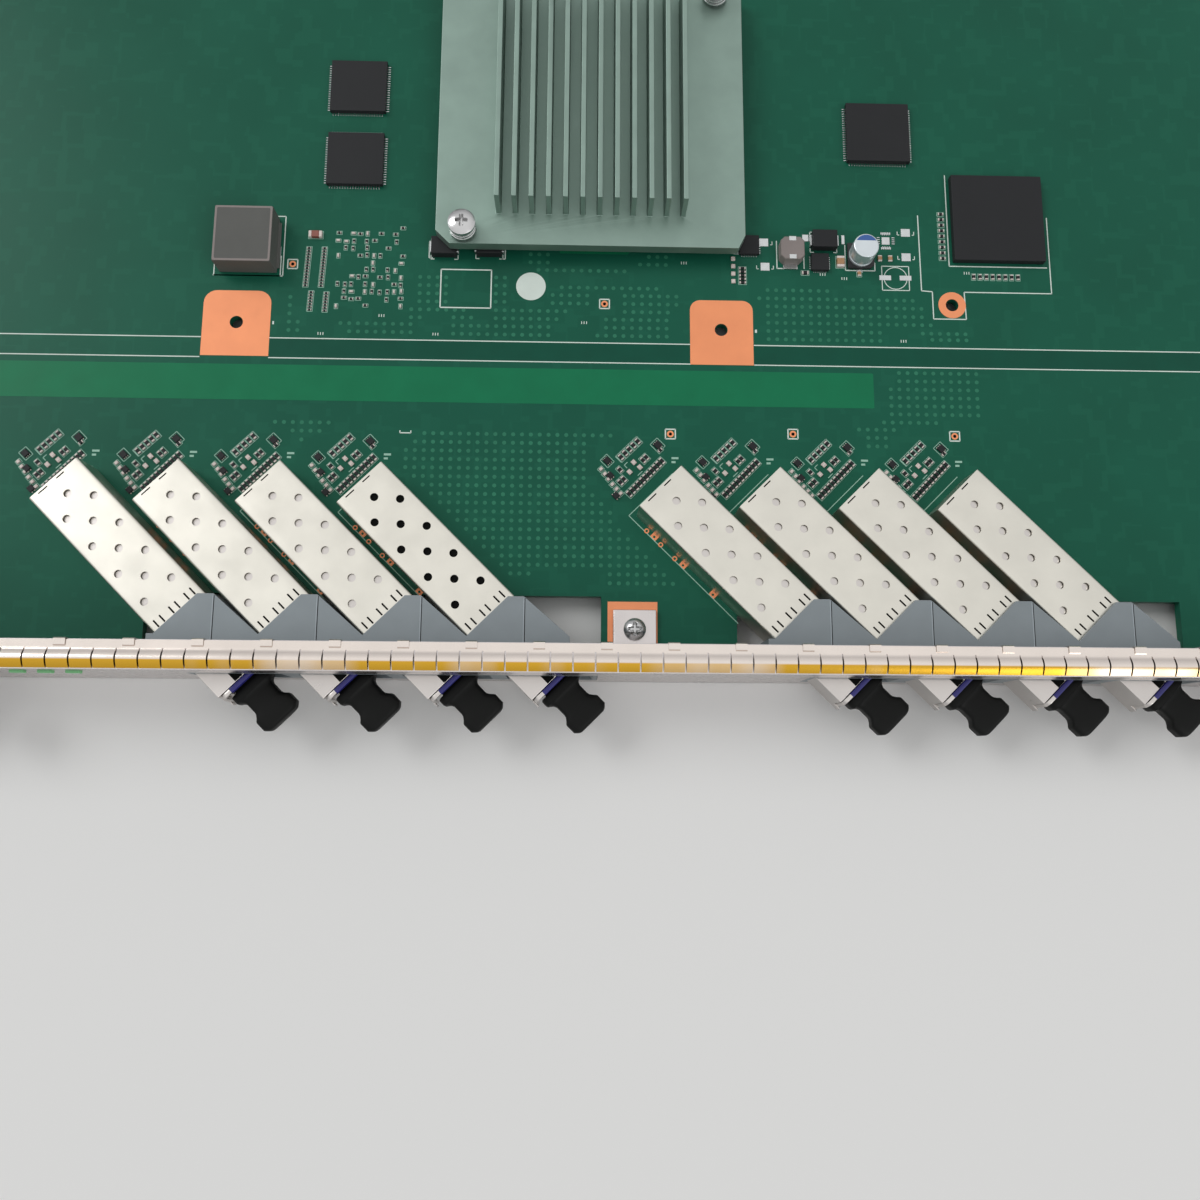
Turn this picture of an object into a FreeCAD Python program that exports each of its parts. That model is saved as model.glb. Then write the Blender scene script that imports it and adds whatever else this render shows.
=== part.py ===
"""Switch line card with eight pluggable optical ports.

The card lies flat: +X runs along the front panel, +Y points to the rear connectors and +Z up.
The card stands on the lower edge of its front panel, and the origin lies under the middle of
its outer box.  Inside this file every sub-part is drawn with Y measured from the front face of
the panel, and its placement then moves it back to that origin.
"""
import FreeCAD, Part
import os
import re
from collections import namedtuple

import Sketcher

document = FreeCAD.newDocument("line_card")

# ---------------------------------------------------------------------------------------------
# Driving sizes, in millimetres
# ---------------------------------------------------------------------------------------------
SIZES = {
    # front panel
    "panel_length": 395.4, "panel_height": 22.86, "panel_sheet": 1.2, "panel_flange": 6.5,
    "window_low": 4.2, "window_high": 16.0, "window_margin": 1.5,
    # circuit board
    "board_width": 386.0, "board_depth": 237.0, "board_thick": 2.2, "board_low": 3.0,
    "board_gap": 0.1, "board_edge_y": 19.6, "tongue_gap": 0.9, "tongue_step": 5.3,
    "board_hole": 3.2, "screw_gap": 0.1, "hole_left_x": -97.1, "hole_right_x": 21.4,
    "hole_row_y": 86.5, "hole_far_x": 79.2, "hole_far_y": 94.0,
    # port row
    "port_pitch": 22.98, "port_middle": 1.4, "port_front": 13.6,
    # cage
    "cage_reach": 43.0, "cage_sheet": 0.35,
    "cage_seat": 1.5, "vent_hole": 1.9, "vent_row": 3.93, "vent_step": 8.82,
    "vent_first": 7.03, "slot_length": 2.45, "slot_width": 0.35,
    "slot_gap": 1.7, "slot_pair": 4.4,
    # port bezel
    "bezel_top": 15.9, "bezel_low": 4.3, "bezel_peak": 17.7, "bezel_flat": 3.6,
    "bezel_side": 1.5, "bezel_gap": 0.1, "seat_gap": 0.1,
    # pluggable module
    "module_width": 13.1, "module_height": 8.5, "module_side_gap": 0.1, "module_play": 0.3,
    "module_stop": 1.55,
    "module_front": 20.3, "channel_gap": 0.3, "socket_width": 9.4, "socket_height": 6.4,
    "socket_depth": 14.0, "ear_thick": 0.35, "ear_reach": 1.7, "ear_height": 2.6,
    "tongue_width": 9.0, "tongue_thick": 1.0, "tongue_reach": 4.0, "hood_reach": 4.4,
    "hood_gap": 0.4,
    # bail
    "bail_gap": 0.1, "bail_leg": 0.85, "bail_thick": 1.2, "bail_bar": 1.5, "bail_rise": 0.2,
    # dust plug
    "plug_flange_width": 10.3, "plug_flange_height": 5.2, "plug_flange": 2.3,
    "plug_neck_width": 7.2, "plug_neck_height": 4.2, "plug_neck": 5.4, "plug_flare_width": 9.8,
    "plug_flare": 3.4, "plug_corner": 0.9, "plug_shank_width": 7.4, "plug_shank_height": 4.8,
    "plug_shank": 12.0, "plug_stand_off": 0.2,
    # host connector inside each cage
    "host_width": 11.6, "host_depth": 4.8, "host_height": 6.2, "host_gap": 0.3,
    # spring finger gasket
    "gasket_sheet": 0.25, "gasket_rise": 1.1, "finger_pitch": 4.85, "finger_slit": 0.35,
    "gasket_back": 6.3, "finger_root": 4.2, "finger_crest": 2.4, "finger_tip": 0.2,
    "gasket_end": 4.0, "clip_width": 2.2, "clip_drop": 1.9,
    # brackets and their screws
    "bracket_width": 10.1, "bracket_reach": 16.4, "bracket_rise": 8.0, "bracket_spread": 165.0,
    "bracket_screw_y": 11.7, "bracket_hole": 3.3, "screw_head": 4.8, "screw_head_height": 1.9,
    "screw_shank": 3.0, "screw_cross": 0.7,
    # ejector levers
    "lever_pivot_x": 187.0, "lever_pivot_y": 5.5, "lever_low": 6.2, "lever_high": 16.6,
    "lever_length": 30.0, "lever_thick": 5.0, "lever_nose": 3.0, "lever_pin": 2.4,
    "lever_running": 0.05, "lever_eye": 6.4, "clevis_sheet": 1.3, "clevis_gap": 0.2,
    "clevis_width": 9.0, "clevis_reach": 9.0, "grip_depth": 2.4,
    # captive screws
    "captive_x": 146.0, "captive_head": 7.6, "captive_head_length": 5.4, "captive_stand": 3.6,
    "captive_shank": 3.0, "captive_tail": 7.6, "captive_collar": 5.0, "ferrule_outer": 6.6,
    "driver_slot": 1.4, "driver_slot_width": 1.1,
    "ferrule_length": 3.0, "captive_gap": 0.15,
    # heat sink and the large chips
    "sink_left": -48.8, "sink_right": 26.9, "sink_front": 105.2, "sink_depth": 72.0,
    "sink_base": 3.0, "sink_fins": 8.0, "fin_thick": 1.2, "fin_pitch": 4.1, "fin_front": 8.0,
    "sink_corner": 3.4, "main_chip": 35.0, "main_chip_height": 2.6, "sink_screw_in": 6.8,
    "sink_screw_head": 6.6, "sink_screw_cap": 1.4, "spring_coil": 5.0, "spring_length": 3.5,
    # electronics, each placed by the middle of its body
    "diode_length": 6.2, "diode_width": 4.6, "diode_height": 2.3, "diode_lead": 0.5,
    "diode_lead_width": 2.8, "diode_near_x": -36.0, "diode_near_y": 106.9,
    "diode_far_x": -47.1, "diode_far_y": 106.6, "diode_right_x": 47.4, "diode_right_y": 110.2,
    "coil_x": -95.0, "coil_y": 106.6, "coil_length": 14.0, "coil_width": 14.4,
    "coil_height": 6.0, "coil_lead": 0.6, "coil_lead_width": 12.0,
    "drum_x": 39.0, "drum_y": 107.0, "drum_size": 6.0, "drum_height": 3.2, "drum_foot": 0.8,
    "can_x": 56.6, "can_y": 106.5, "can_size": 6.3, "can_height": 5.8, "can_foot": 6.6,
    "can_foot_height": 0.8,
    "interface_x": 91.4, "interface_y": 116.8, "interface_size": 23.0, "interface_height": 1.8,
    "memory_x": -70.0, "memory_y": 130.0, "memory_size": 14.0, "memory_height": 1.2,
    "buffer_x": -70.0, "buffer_y": 150.0, "buffer_size": 14.0, "buffer_height": 1.2,
    "logic_x": 62.0, "logic_y": 140.0, "logic_size": 16.0, "logic_height": 1.4,
    "driver_x": 46.3, "driver_y": 104.6, "driver_size": 4.4, "driver_height": 1.0,
    "gate_x": 28.6, "gate_y": 108.8, "gate_size": 5.0, "gate_height": 1.0,
    # status lights
    "lens_width": 3.0, "lens_height": 1.8, "lens_stand": 0.6, "lens_z": 18.6,
    "lens_depth": 4.0, "status_x": -134.0, "status_pitch": 6.0,
    # rear connectors
    "rear_overhang": 1.5, "backplane_width": 50.0, "backplane_depth": 13.0,
    "backplane_height": 14.0, "backplane_x": 62.0, "row_slot": 1.0, "row_pitch": 3.2,
    "power_width": 32.0, "power_x": 170.0, "blade_width": 2.2, "blade_height": 9.0,
    "blade_pitch": 6.0, "blade_depth": 3.0, "row_depth": 2.0, "guide_size": 9.0, "guide_bore": 6.4,
    "guide_x": 112.0,
}

sheet = document.addObject("Spreadsheet::Sheet", "Sizes")
for row, (name, value) in enumerate(SIZES.items(), start=1):
    sheet.set("A%d" % row, name)
    sheet.set("B%d" % row, str(value))
    sheet.setAlias("B%d" % row, name)
document.recompute()

# Places and lengths that follow from the driving sizes.
TURN = "cos(45)"                                    # the ports point 45 degrees to the right
BOARD_TOP = "(board_low + board_thick)"
PLUG_FRONT = ("(module_front + bail_gap + bail_thick + plug_stand_off + plug_flange"
              " + plug_neck + plug_flare)")
FRONT_REACH = "((%s + plug_flare_width / 2 - plug_corner) * %s - port_front)" % (PLUG_FRONT, TURN)
BOARD_FRONT = "(panel_sheet + board_gap)"
BOARD_REAR = "(%s + board_depth)" % BOARD_FRONT
REAR_REACH = "(%s + rear_overhang)" % BOARD_REAR
MIDDLE = "((%s - %s) / 2)" % (FRONT_REACH, REAR_REACH)
MODULE_LOW = "(cage_sheet + module_play)"           # above the board
MODULE_REAR = "(cage_reach - cage_sheet - host_gap - host_depth - module_stop)"
CAGE_WIDTH = "(module_width + 2 * module_side_gap + 2 * cage_sheet)"
CAGE_HEIGHT = "(module_height + 2 * module_play + 2 * cage_sheet)"
PORT_STEPS = (-4.5, -3.5, -2.5, -1.5, 1.5, 2.5, 3.5, 4.5)
PORT_X = ["(port_middle + %s * port_pitch)" % step for step in PORT_STEPS]

Circle = namedtuple("Circle", "x y radius")
Solid = FreeCAD.Vector
AXIS_Z = FreeCAD.Vector(0, 0, 1)


# ---------------------------------------------------------------------------------------------
# Helpers: every size and place goes in as a formula of the sheet's names
# ---------------------------------------------------------------------------------------------
def formula(text):
    """Write the sheet's name before each size that the text uses."""
    return re.sub(r"[a-z][a-z_]*",
                  lambda word: "Sizes." + word.group() if word.group() in SIZES else word.group(),
                  str(text))


def bind(item, **formulas):
    """Bind properties of an object to formulas; Placement parts are given as x, y and z."""
    for name, text in formulas.items():
        path = "Placement.Base." + name if name in ("x", "y", "z") else name
        item.setExpression(path, formula(text))
    return item


def box(name, size, at):
    """A block of three lengths whose lowest corner lies at a point."""
    item = document.addObject("Part::Box", name)
    return bind(item, Length=size[0], Width=size[1], Height=size[2], x=at[0], y=at[1], z=at[2])


def rod(name, diameter, length, at, axis=AXIS_Z):
    """A round bar that starts at a point and runs along an axis."""
    item = document.addObject("Part::Cylinder", name)
    item.Placement.Rotation = FreeCAD.Rotation(AXIS_Z, axis)
    return bind(item, Radius="(%s) / 2" % diameter, Height=length, x=at[0], y=at[1], z=at[2])


def bar(name, width, length, at, axis=AXIS_Z, sides=12):
    """A bar of flat sides for small turned pieces and the holes they pass through; the width is
    the circle through its edges."""
    item = document.addObject("Part::Prism", name)
    item.Polygon = sides
    item.Placement.Rotation = FreeCAD.Rotation(AXIS_Z, axis)
    return bind(item, Circumradius="(%s) / 2" % width, Height=length, x=at[0], y=at[1], z=at[2])


def draw(sketch, loops):
    """Draw closed outlines and circles, every point bound to formulas of the sheet."""
    rules = []
    formulas = []
    for loop in loops:
        first = sketch.GeometryCount
        if isinstance(loop, Circle):
            sketch.addGeometry(Part.Circle(Solid(1, 1, 0), AXIS_Z, 1))
            points = [(first, 3, loop.x, loop.y)]
            rules.append(Sketcher.Constraint("Radius", first, 1.0))
            formulas.append(loop.radius)
        else:
            corners = [FreeCAD.Rotation(AXIS_Z, 360.0 * k / len(loop)).multVec(Solid(9, 0, 0))
                       for k in range(len(loop))]
            for k, corner in enumerate(corners):
                sketch.addGeometry(Part.LineSegment(corner, corners[(k + 1) % len(corners)]))
                rules.append(Sketcher.Constraint("Coincident", first + k, 2,
                                                 first + (k + 1) % len(loop), 1))
                formulas.append(None)
            points = [(first + k, 1, x, y) for k, (x, y) in enumerate(loop)]
        for shape, end, x, y in points:
            rules.append(Sketcher.Constraint("DistanceX", shape, end, 1.0))
            rules.append(Sketcher.Constraint("DistanceY", shape, end, 1.0))
            formulas += [x, y]
    sketch.addConstraint(rules)
    for index, text in enumerate(formulas):
        if text is not None:
            sketch.setExpression("Constraints[%d]" % index, formula(text))
    return sketch


def prism(name, loops, height, start="0"):
    """An upright solid: outlines in the XY plane, raised from a start height."""
    sketch = draw(document.addObject("Sketcher::SketchObject", name + "_outline"), loops)
    bind(sketch, z=start)
    item = document.addObject("Part::Extrusion", name)
    item.Base = sketch
    item.DirMode = "Custom"
    item.Dir = AXIS_Z
    item.Solid = True
    return bind(item, LengthFwd=height)


def cut(name, base, *tools):
    """One solid less the others."""
    item = document.addObject("Part::Cut", name)
    item.Base = base
    item.Tool = tools[0] if len(tools) == 1 else join(name + "_tools", *tools)
    return item


def join(name, *pieces):
    """Pieces that are one solid."""
    item = document.addObject("Part::MultiFuse", name)
    item.Shapes = list(pieces)
    return item


def group(name, *pieces):
    """Separate solids that are kept together, such as identical fasteners."""
    item = document.addObject("Part::Compound", name)
    item.Links = list(pieces)
    return item


PLANES = {"XY": "XY_Plane", "XZ": "XZ_Plane", "YZ": "YZ_Plane"}


def body_sketch(body, name, plane, start, loops):
    """A sketch on one of the body's own planes, moved along its normal to a start."""
    sketch = body.newObject("Sketcher::SketchObject", name)
    roles = {feature.Role: feature for feature in body.Origin.OriginFeatures}
    sketch.AttachmentSupport = (roles[PLANES[plane]], "")
    sketch.MapMode = "FlatFace"
    sketch.setExpression("AttachmentOffset.Base.z", formula(start))
    return draw(sketch, loops)


def pad(body, name, plane, start, length, *loops):
    """Add material from the start along the plane's normal."""
    feature = body.newObject("PartDesign::Pad", name)
    feature.Profile = body_sketch(body, name + "_outline", plane, start, loops)
    return bind(feature, Length=length)


def pocket(body, name, plane, start, length, *loops):
    """Take material away from the start along the plane's normal."""
    feature = body.newObject("PartDesign::Pocket", name)
    feature.Profile = body_sketch(body, name + "_outline", plane, start, loops)
    feature.Reversed = True
    return bind(feature, Length=length)


def pattern(body, name, feature, length, count, axis="X_Axis"):
    """Repeat a feature of a body in a straight row."""
    row = body.newObject("PartDesign::LinearPattern", name)
    row.Originals = [feature]
    roles = {item.Role: item for item in body.Origin.OriginFeatures}
    row.Direction = (roles[axis], [""])
    bind(row, Length=length, Occurrences=count)
    body.Tip = row
    return row


def new_body(name):
    """An empty body."""
    return document.addObject("PartDesign::Body", name)


def rectangle(left, right, low, high):
    """The four corners of a rectangle."""
    return [(left, low), (right, low), (right, high), (left, high)]


parts = []


def sub_part(item, x="0", y="0", z="0", turn=None):
    """Name a finished sub-part for export and move it to its place on the card."""
    if turn is not None:
        item.Placement.Rotation = FreeCAD.Rotation(AXIS_Z, turn)
    bind(item, x=x, y="%s + %s" % (y, MIDDLE), z=z)
    parts.append(item)
    return item


def repeat(master, names, places, height="0", turn=None):
    """Copies of one master, each a sub-part of its own."""
    for name, (x, y) in zip(names, places):
        sub_part(group(name, master), x=x, y=y, z=height, turn=turn)


PORT_PLACES = [(x, "port_front") for x in PORT_X]


def numbered(name):
    """The names of the eight copies that belong to the ports."""
    return ["%s_%d" % (name, number) for number in range(1, 9)]


# ---------------------------------------------------------------------------------------------
# Front panel: a folded channel with a window for each group of four ports
# ---------------------------------------------------------------------------------------------
def window(first, last):
    """The ends of the window that the modules of one port group pass through."""
    half = "(module_width / 2 / %s + window_margin)" % TURN
    return ("%s + port_front - %s" % (PORT_X[first], half),
            "%s + port_front + %s" % (PORT_X[last], half))


WINDOWS = [window(0, 3), window(4, 7)]
CAGE_CORNER = "(%s / 2 * %s)" % (CAGE_WIDTH, TURN)
BEZEL_LEFT = ["(%s - %s - bezel_side)" % (x, CAGE_CORNER) for x in (PORT_X[0], PORT_X[4])]
LENS_X = ["status_x + %d * status_pitch" % k for k in range(3)]


def front_panel():
    panel = new_body("front_panel")
    inner = "panel_flange"
    profile = [("0", "0"), (inner, "0"), (inner, "panel_sheet"), ("panel_sheet", "panel_sheet"),
               ("panel_sheet", "panel_height - panel_sheet"),
               (inner, "panel_height - panel_sheet"), (inner, "panel_height"),
               ("0", "panel_height")]
    pad(panel, "channel", "YZ", "-panel_length / 2", "panel_length", profile)
    openings = [rectangle(left, right, "window_low", "window_high") for left, right in WINDOWS]
    lens_half = "(lens_width / 2 + bezel_gap)"
    rise = "(lens_height / 2 + bezel_gap)"
    openings += [rectangle("%s - %s" % (x, lens_half), "%s + %s" % (x, lens_half),
                           "lens_z - %s" % rise, "lens_z + %s" % rise) for x in LENS_X]
    openings += [Circle("%scaptive_x" % side, "panel_height / 2",
                        "captive_shank / 2 + captive_gap") for side in ("-", "")]
    pocket(panel, "openings", "XZ", "-panel_sheet - 1", "panel_sheet + 2", *openings)
    sub_part(panel)


def gasket():
    """Spring fingers on the upper flange, with clips round its rear edge."""
    strip = new_body("finger_gasket")
    low = "panel_height"
    sheet_top = "panel_height + gasket_sheet"
    crest = "panel_height + gasket_rise"
    profile = [("gasket_back", low), ("gasket_back", sheet_top), ("finger_root", sheet_top),
               ("finger_crest", crest), ("finger_tip", sheet_top), ("finger_tip", low),
               ("finger_crest", crest + " - gasket_sheet"), ("finger_root", low)]
    half = "(panel_length / 2 - gasket_end)"
    pad(strip, "finger_strip", "YZ", "-" + half, "2 * " + half, profile)
    fingers = "floor(2 * %s / finger_pitch - 1)" % half
    first = "-(%s - 1) * finger_pitch / 2" % fingers
    slit = pocket(strip, "first_slit", "XY", low + " - 1", "gasket_rise + 2",
                  rectangle("%s - finger_slit / 2" % first, "%s + finger_slit / 2" % first,
                            "finger_tip - 1", "finger_root"))
    pattern(strip, "slits", slit, "(%s - 1) * finger_pitch" % fingers, fingers)
    clip_pitch = "(3 * finger_pitch)"
    clips = "floor(2 * %s / %s - 1)" % (half, clip_pitch)
    start = "-(%s - 1) * %s / 2" % (clips, clip_pitch)
    clip = pad(strip, "first_clip", "XY", low + " - clip_drop", "clip_drop + gasket_sheet",
               rectangle("%s - clip_width / 2" % start, "%s + clip_width / 2" % start,
                         "panel_flange", "panel_flange + gasket_sheet"))
    strap = pad(strip, "first_strap", "XY", low, "gasket_sheet",
                rectangle("%s - clip_width / 2" % start, "%s + clip_width / 2" % start,
                          "gasket_back - 0.1", "panel_flange + gasket_sheet"))
    row = pattern(strip, "clips", clip, "(%s - 1) * %s" % (clips, clip_pitch), clips)
    row.Originals = [clip, strap]
    sub_part(strip)


def status_lenses():
    lenses = [box("lens_%d" % (k + 1), ("lens_width", "lens_depth", "lens_height"),
                  ("%s - lens_width / 2" % x, "-lens_stand", "lens_z - lens_height / 2"))
              for k, x in enumerate(LENS_X)]
    sub_part(group("status_lenses", *lenses))


# ---------------------------------------------------------------------------------------------
# Circuit board
# ---------------------------------------------------------------------------------------------
BRACKET_X = ("-bracket_spread", "0", "bracket_spread")
SINK_LOW = "(%s + main_chip_height)" % BOARD_TOP
SINK_MIDDLE = "((sink_left + sink_right) / 2)"
SINK_SCREWS = [("sink_left + sink_screw_in", "sink_front + sink_screw_in / 2"),
               ("sink_right - sink_screw_in", "sink_front + sink_depth - sink_screw_in / 2")]
BOARD_HOLES = [("hole_left_x", "hole_row_y"), ("hole_right_x", "hole_row_y"),
               ("hole_far_x", "hole_far_y")]


def circuit_board():
    front = BOARD_FRONT
    rear = BOARD_REAR
    recesses = [(BEZEL_LEFT[0] + " - tongue_step", WINDOWS[0][1] + " + tongue_gap"),
                (BEZEL_LEFT[1] + " - tongue_step", WINDOWS[1][1] + " + tongue_gap")]
    edge = [("-board_width / 2", front)]
    for left, right in recesses:
        edge += [(left, front), (left, "board_edge_y"), (right, "board_edge_y"), (right, front)]
    edge += [("board_width / 2", front), ("board_width / 2", rear), ("-board_width / 2", rear)]
    holes = [Circle(x, y, "board_hole / 2") for x, y in BOARD_HOLES]
    laminate = prism("board_laminate", [edge] + holes, "board_thick", "board_low")
    bolts = [(x, "bracket_screw_y") for x in BRACKET_X] + SINK_SCREWS
    drills = [bar("board_drill_%d" % number, "screw_shank + 2 * screw_gap", "board_thick + 2",
                  (x, y, "board_low - 1")) for number, (x, y) in enumerate(bolts)]
    sub_part(cut("circuit_board", laminate, *drills))


# ---------------------------------------------------------------------------------------------
# Ports: cage, host connector, module, bail and dust plug, each drawn along +X from the front
# plane of its cage and then turned to the port's direction
# ---------------------------------------------------------------------------------------------
def cage():
    half = "(%s / 2)" % CAGE_WIDTH
    shell = new_body("cage_master")
    pad(shell, "cage_tube", "XY", "0", CAGE_HEIGHT,
        rectangle("-cage_reach", "cage_seat", "-" + half, half))
    inside = "(module_width / 2 + module_side_gap)"
    pocket(shell, "cage_inside", "YZ", "-cage_reach + cage_sheet", "cage_reach + 9",
           rectangle("-" + inside, inside, "cage_sheet", CAGE_HEIGHT + " - cage_sheet"))
    roof = ("XY", CAGE_HEIGHT + " - 2 * cage_sheet", "4 * cage_sheet")
    slots = []
    for pair in (-1, 0, 1):
        for side in (-0.5, 0.5):
            middle = "(%d * slot_pair + %s * slot_gap)" % (pair, side)
            slots.append(rectangle("-slot_length", "-0.2", middle + " - slot_width / 2",
                                   middle + " + slot_width / 2"))
    pocket(shell, "spring_slots", *roof, *slots)
    floor_gap = rectangle("-cage_reach - 1", "-cage_reach + host_depth + 2.4",
                          "-host_width / 2 - host_gap", "host_width / 2 + host_gap")
    pocket(shell, "connector_gap", "XY", "-1", "cage_sheet + 1", floor_gap)
    vents = []
    for row, count in ((-1, 4), (0, 4), (1, 4)):
        for step in range(count):
            vent = document.addObject("Part::Prism", "vent_%d_%d" % (row + 1, step))
            vent.Polygon = 8
            bind(vent, Circumradius="vent_hole / 2", Height="4 * cage_sheet",
                 x="-vent_first - (%d + %s) * vent_step" % (step, 0.0 if row else 0.5),
                 y="%d * vent_row" % row, z=CAGE_HEIGHT + " - 2 * cage_sheet")
            vents.append(vent)
    vented = cut("vented_cage", shell, *vents)
    repeat(vented, numbered("cage"), PORT_PLACES, BOARD_TOP, -45)


def host_connector():
    """The edge connector that the module's tongue plugs into."""
    rear = "(-cage_reach + cage_sheet + host_gap)"
    block = box("host_block", ("host_depth", "host_width", "host_height"),
                (rear, "-host_width / 2", "0"))
    slot = box("host_slot", ("host_depth", "tongue_width + 2 * host_gap",
                             "tongue_thick + 2 * host_gap"),
               ("%s + 1.2" % rear, "-tongue_width / 2 - host_gap", TONGUE_LOW + " - host_gap"))
    master = cut("host_master", block, slot)
    hosts = []
    for name, x in zip(numbered("host_connector"), PORT_X):
        host = group(name, master)
        host.Placement.Rotation = FreeCAD.Rotation(AXIS_Z, -45)
        hosts.append(bind(host, x=x, y="port_front"))
    sub_part(group("host_connectors", *hosts), z=BOARD_TOP)


TONGUE_LOW = "(%s + module_height / 2 - tongue_thick / 2)" % MODULE_LOW


def module():
    """The transceiver: its case, the socket for the fibre, the bail's ears, the contact tongue
    at its rear and the hood that covers the host connector."""
    half = "(module_width / 2)"
    case = box("module_case", (MODULE_REAR + " + module_front", "module_width",
                               "module_height"), ("-" + MODULE_REAR, "-" + half, MODULE_LOW))
    socket = box("module_socket", ("socket_depth + 1", "socket_width", "socket_height"),
                 ("module_front - socket_depth", "-socket_width / 2",
                  "%s + module_height / 2 - socket_height / 2" % MODULE_LOW))
    tongue = box("module_tongue", ("tongue_reach + 1", "tongue_width", "tongue_thick"),
                 ("-%s - tongue_reach" % MODULE_REAR, "-tongue_width / 2", TONGUE_LOW))
    hood = box("module_hood", ("hood_reach + 1", "module_width",
                               "%s + module_height - host_height - hood_gap" % MODULE_LOW),
               ("-%s - hood_reach" % MODULE_REAR, "-" + half, "host_height + hood_gap"))
    ears = [box("module_ear_" + side, ("ear_reach + 1", "ear_thick", "ear_height"),
                ("module_front - 1", y, MODULE_LOW))
            for side, y in (("left", half + " - ear_thick"), ("right", "-" + half))]
    master = join("module_master", cut("module_shell", case, socket), tongue, hood, *ears)
    repeat(master, numbered("module"), PORT_PLACES, BOARD_TOP, -45)


BAIL_BACK = "(module_front + bail_gap)"
BAIL_HALF = "(module_width / 2 - ear_thick - bail_gap)"
BAIL_TOP = "(%s + module_height + bail_rise)" % MODULE_LOW
BAIL_PIVOT = "(%s + ear_height / 2)" % MODULE_LOW


def bail():
    """The latch handle: two legs between the module's ears and a bar across their tops."""
    foot = "(%s - bail_thick / 2)" % BAIL_PIVOT
    frame = box("bail_frame", ("bail_thick", "2 * " + BAIL_HALF, "%s - %s" % (BAIL_TOP, foot)),
                (BAIL_BACK, "-" + BAIL_HALF, foot))
    inner = "(%s - bail_leg)" % BAIL_HALF
    opening = box("bail_opening", ("bail_thick + 2", "2 * " + inner,
                                   "%s - %s - bail_bar + 1" % (BAIL_TOP, foot)),
                  (BAIL_BACK + " - 1", "-" + inner, foot + " - 1"))
    repeat(cut("bail_master", frame, opening), numbered("bail"), PORT_PLACES, BOARD_TOP, -45)


def dust_plug():
    """Shank in the module's socket, flange, waisted neck and flared finger grip."""
    centre = "(%s + module_height / 2)" % MODULE_LOW
    flange_back = "(%s + bail_thick + plug_stand_off)" % BAIL_BACK
    flange_front = "(%s + plug_flange)" % flange_back
    shank = box("plug_shank_bar", ("plug_shank + plug_flange / 2", "plug_shank_width",
                                   "plug_shank_height"),
                (flange_back + " - plug_shank", "-plug_shank_width / 2",
                 centre + " - plug_shank_height / 2"))
    flange = box("plug_flange_plate", ("plug_flange", "plug_flange_width", "plug_flange_height"),
                 (flange_back, "-plug_flange_width / 2", centre + " - plug_flange_height / 2"))
    wide = "(plug_flare_width / 2)"
    slim = "(plug_neck_width / 2)"
    half = [(flange_front + " - 0.5", slim + " + 0.9"), (flange_front, slim + " + 0.9"),
            (flange_front + " + 0.5", slim + " + 0.25"), (flange_front + " + 1.3", slim),
            (flange_front + " + plug_neck - 1.3", slim),
            (flange_front + " + plug_neck - 0.2", wide),
            (PLUG_FRONT + " - plug_corner", wide), (PLUG_FRONT, wide + " - plug_corner")]
    outline = half + [(x, "-(%s)" % y) for x, y in reversed(half)]
    grip = prism("plug_grip", [outline], "plug_neck_height", centre + " - plug_neck_height / 2")
    master = join("dust_plug_master", shank, flange, grip)
    repeat(master, numbered("dust_plug"), PORT_PLACES, BOARD_TOP, -45)


def port_bezel(name, ports):
    """A moulding with a saw-tooth back: one slanted channel for each module."""
    reach = CAGE_CORNER
    valley = "(port_front - %s)" % reach
    climb = "(bezel_peak - %s)" % valley
    outline = []
    for x in ports:
        corner = "(%s - %s)" % (x, reach)
        outline += [(corner, valley), ("%s + %s" % (corner, climb), "bezel_peak"),
                    ("%s + %s + bezel_flat" % (corner, climb), "bezel_peak")]
    left = BEZEL_LEFT[0 if ports[0] == PORT_X[0] else 1]
    right = "(%s - %s + port_pitch)" % (ports[-1], reach)
    behind = "panel_sheet + bezel_gap"
    outline += [(right, valley), (right, behind), (left, behind), (left, valley)]
    block = prism(name + "_block", [outline], "bezel_top - bezel_low", "bezel_low")
    opening = WINDOWS[0 if ports[0] == PORT_X[0] else 1]
    lip = box(name + "_lip", ("%s - (%s) - 2 * bezel_gap" % (opening[1], opening[0]),
                              "panel_sheet + 1", "bezel_top - bezel_low"),
              ("%s + bezel_gap" % opening[0], "0", "bezel_low"))
    tools = []
    width = "(module_width + 2 * channel_gap)"
    height = "(module_height + 2 * channel_gap)"
    seat = "(%s + 2 * seat_gap)" % CAGE_WIDTH
    for number, x in enumerate(ports):
        low = "%s + %s - channel_gap" % (BOARD_TOP, MODULE_LOW)
        for kind, length, across, start, bottom, rise in (
                ("channel", "4 * port_front", width, "-1", low, height),
                ("seat", "cage_seat + seat_gap + 9", seat, "-9", BOARD_TOP + " - seat_gap",
                 CAGE_HEIGHT + " + 2 * seat_gap")):
            tool = box("%s_%s_%d" % (name, kind, number), (length, across, rise), ("0", "0", "0"))
            tool.Placement.Rotation = FreeCAD.Rotation(AXIS_Z, -45)
            # the corner of the turned tool: its start along the port, half its width to the right
            bind(tool, x="%s + (%s - %s / 2) * %s" % (x, start, across, TURN),
                 y="port_front - (%s + %s / 2) * %s" % (start, across, TURN), z=bottom)
            tools.append(tool)
    sub_part(cut(name, join(name + "_solid", block, lip), *tools))


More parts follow.
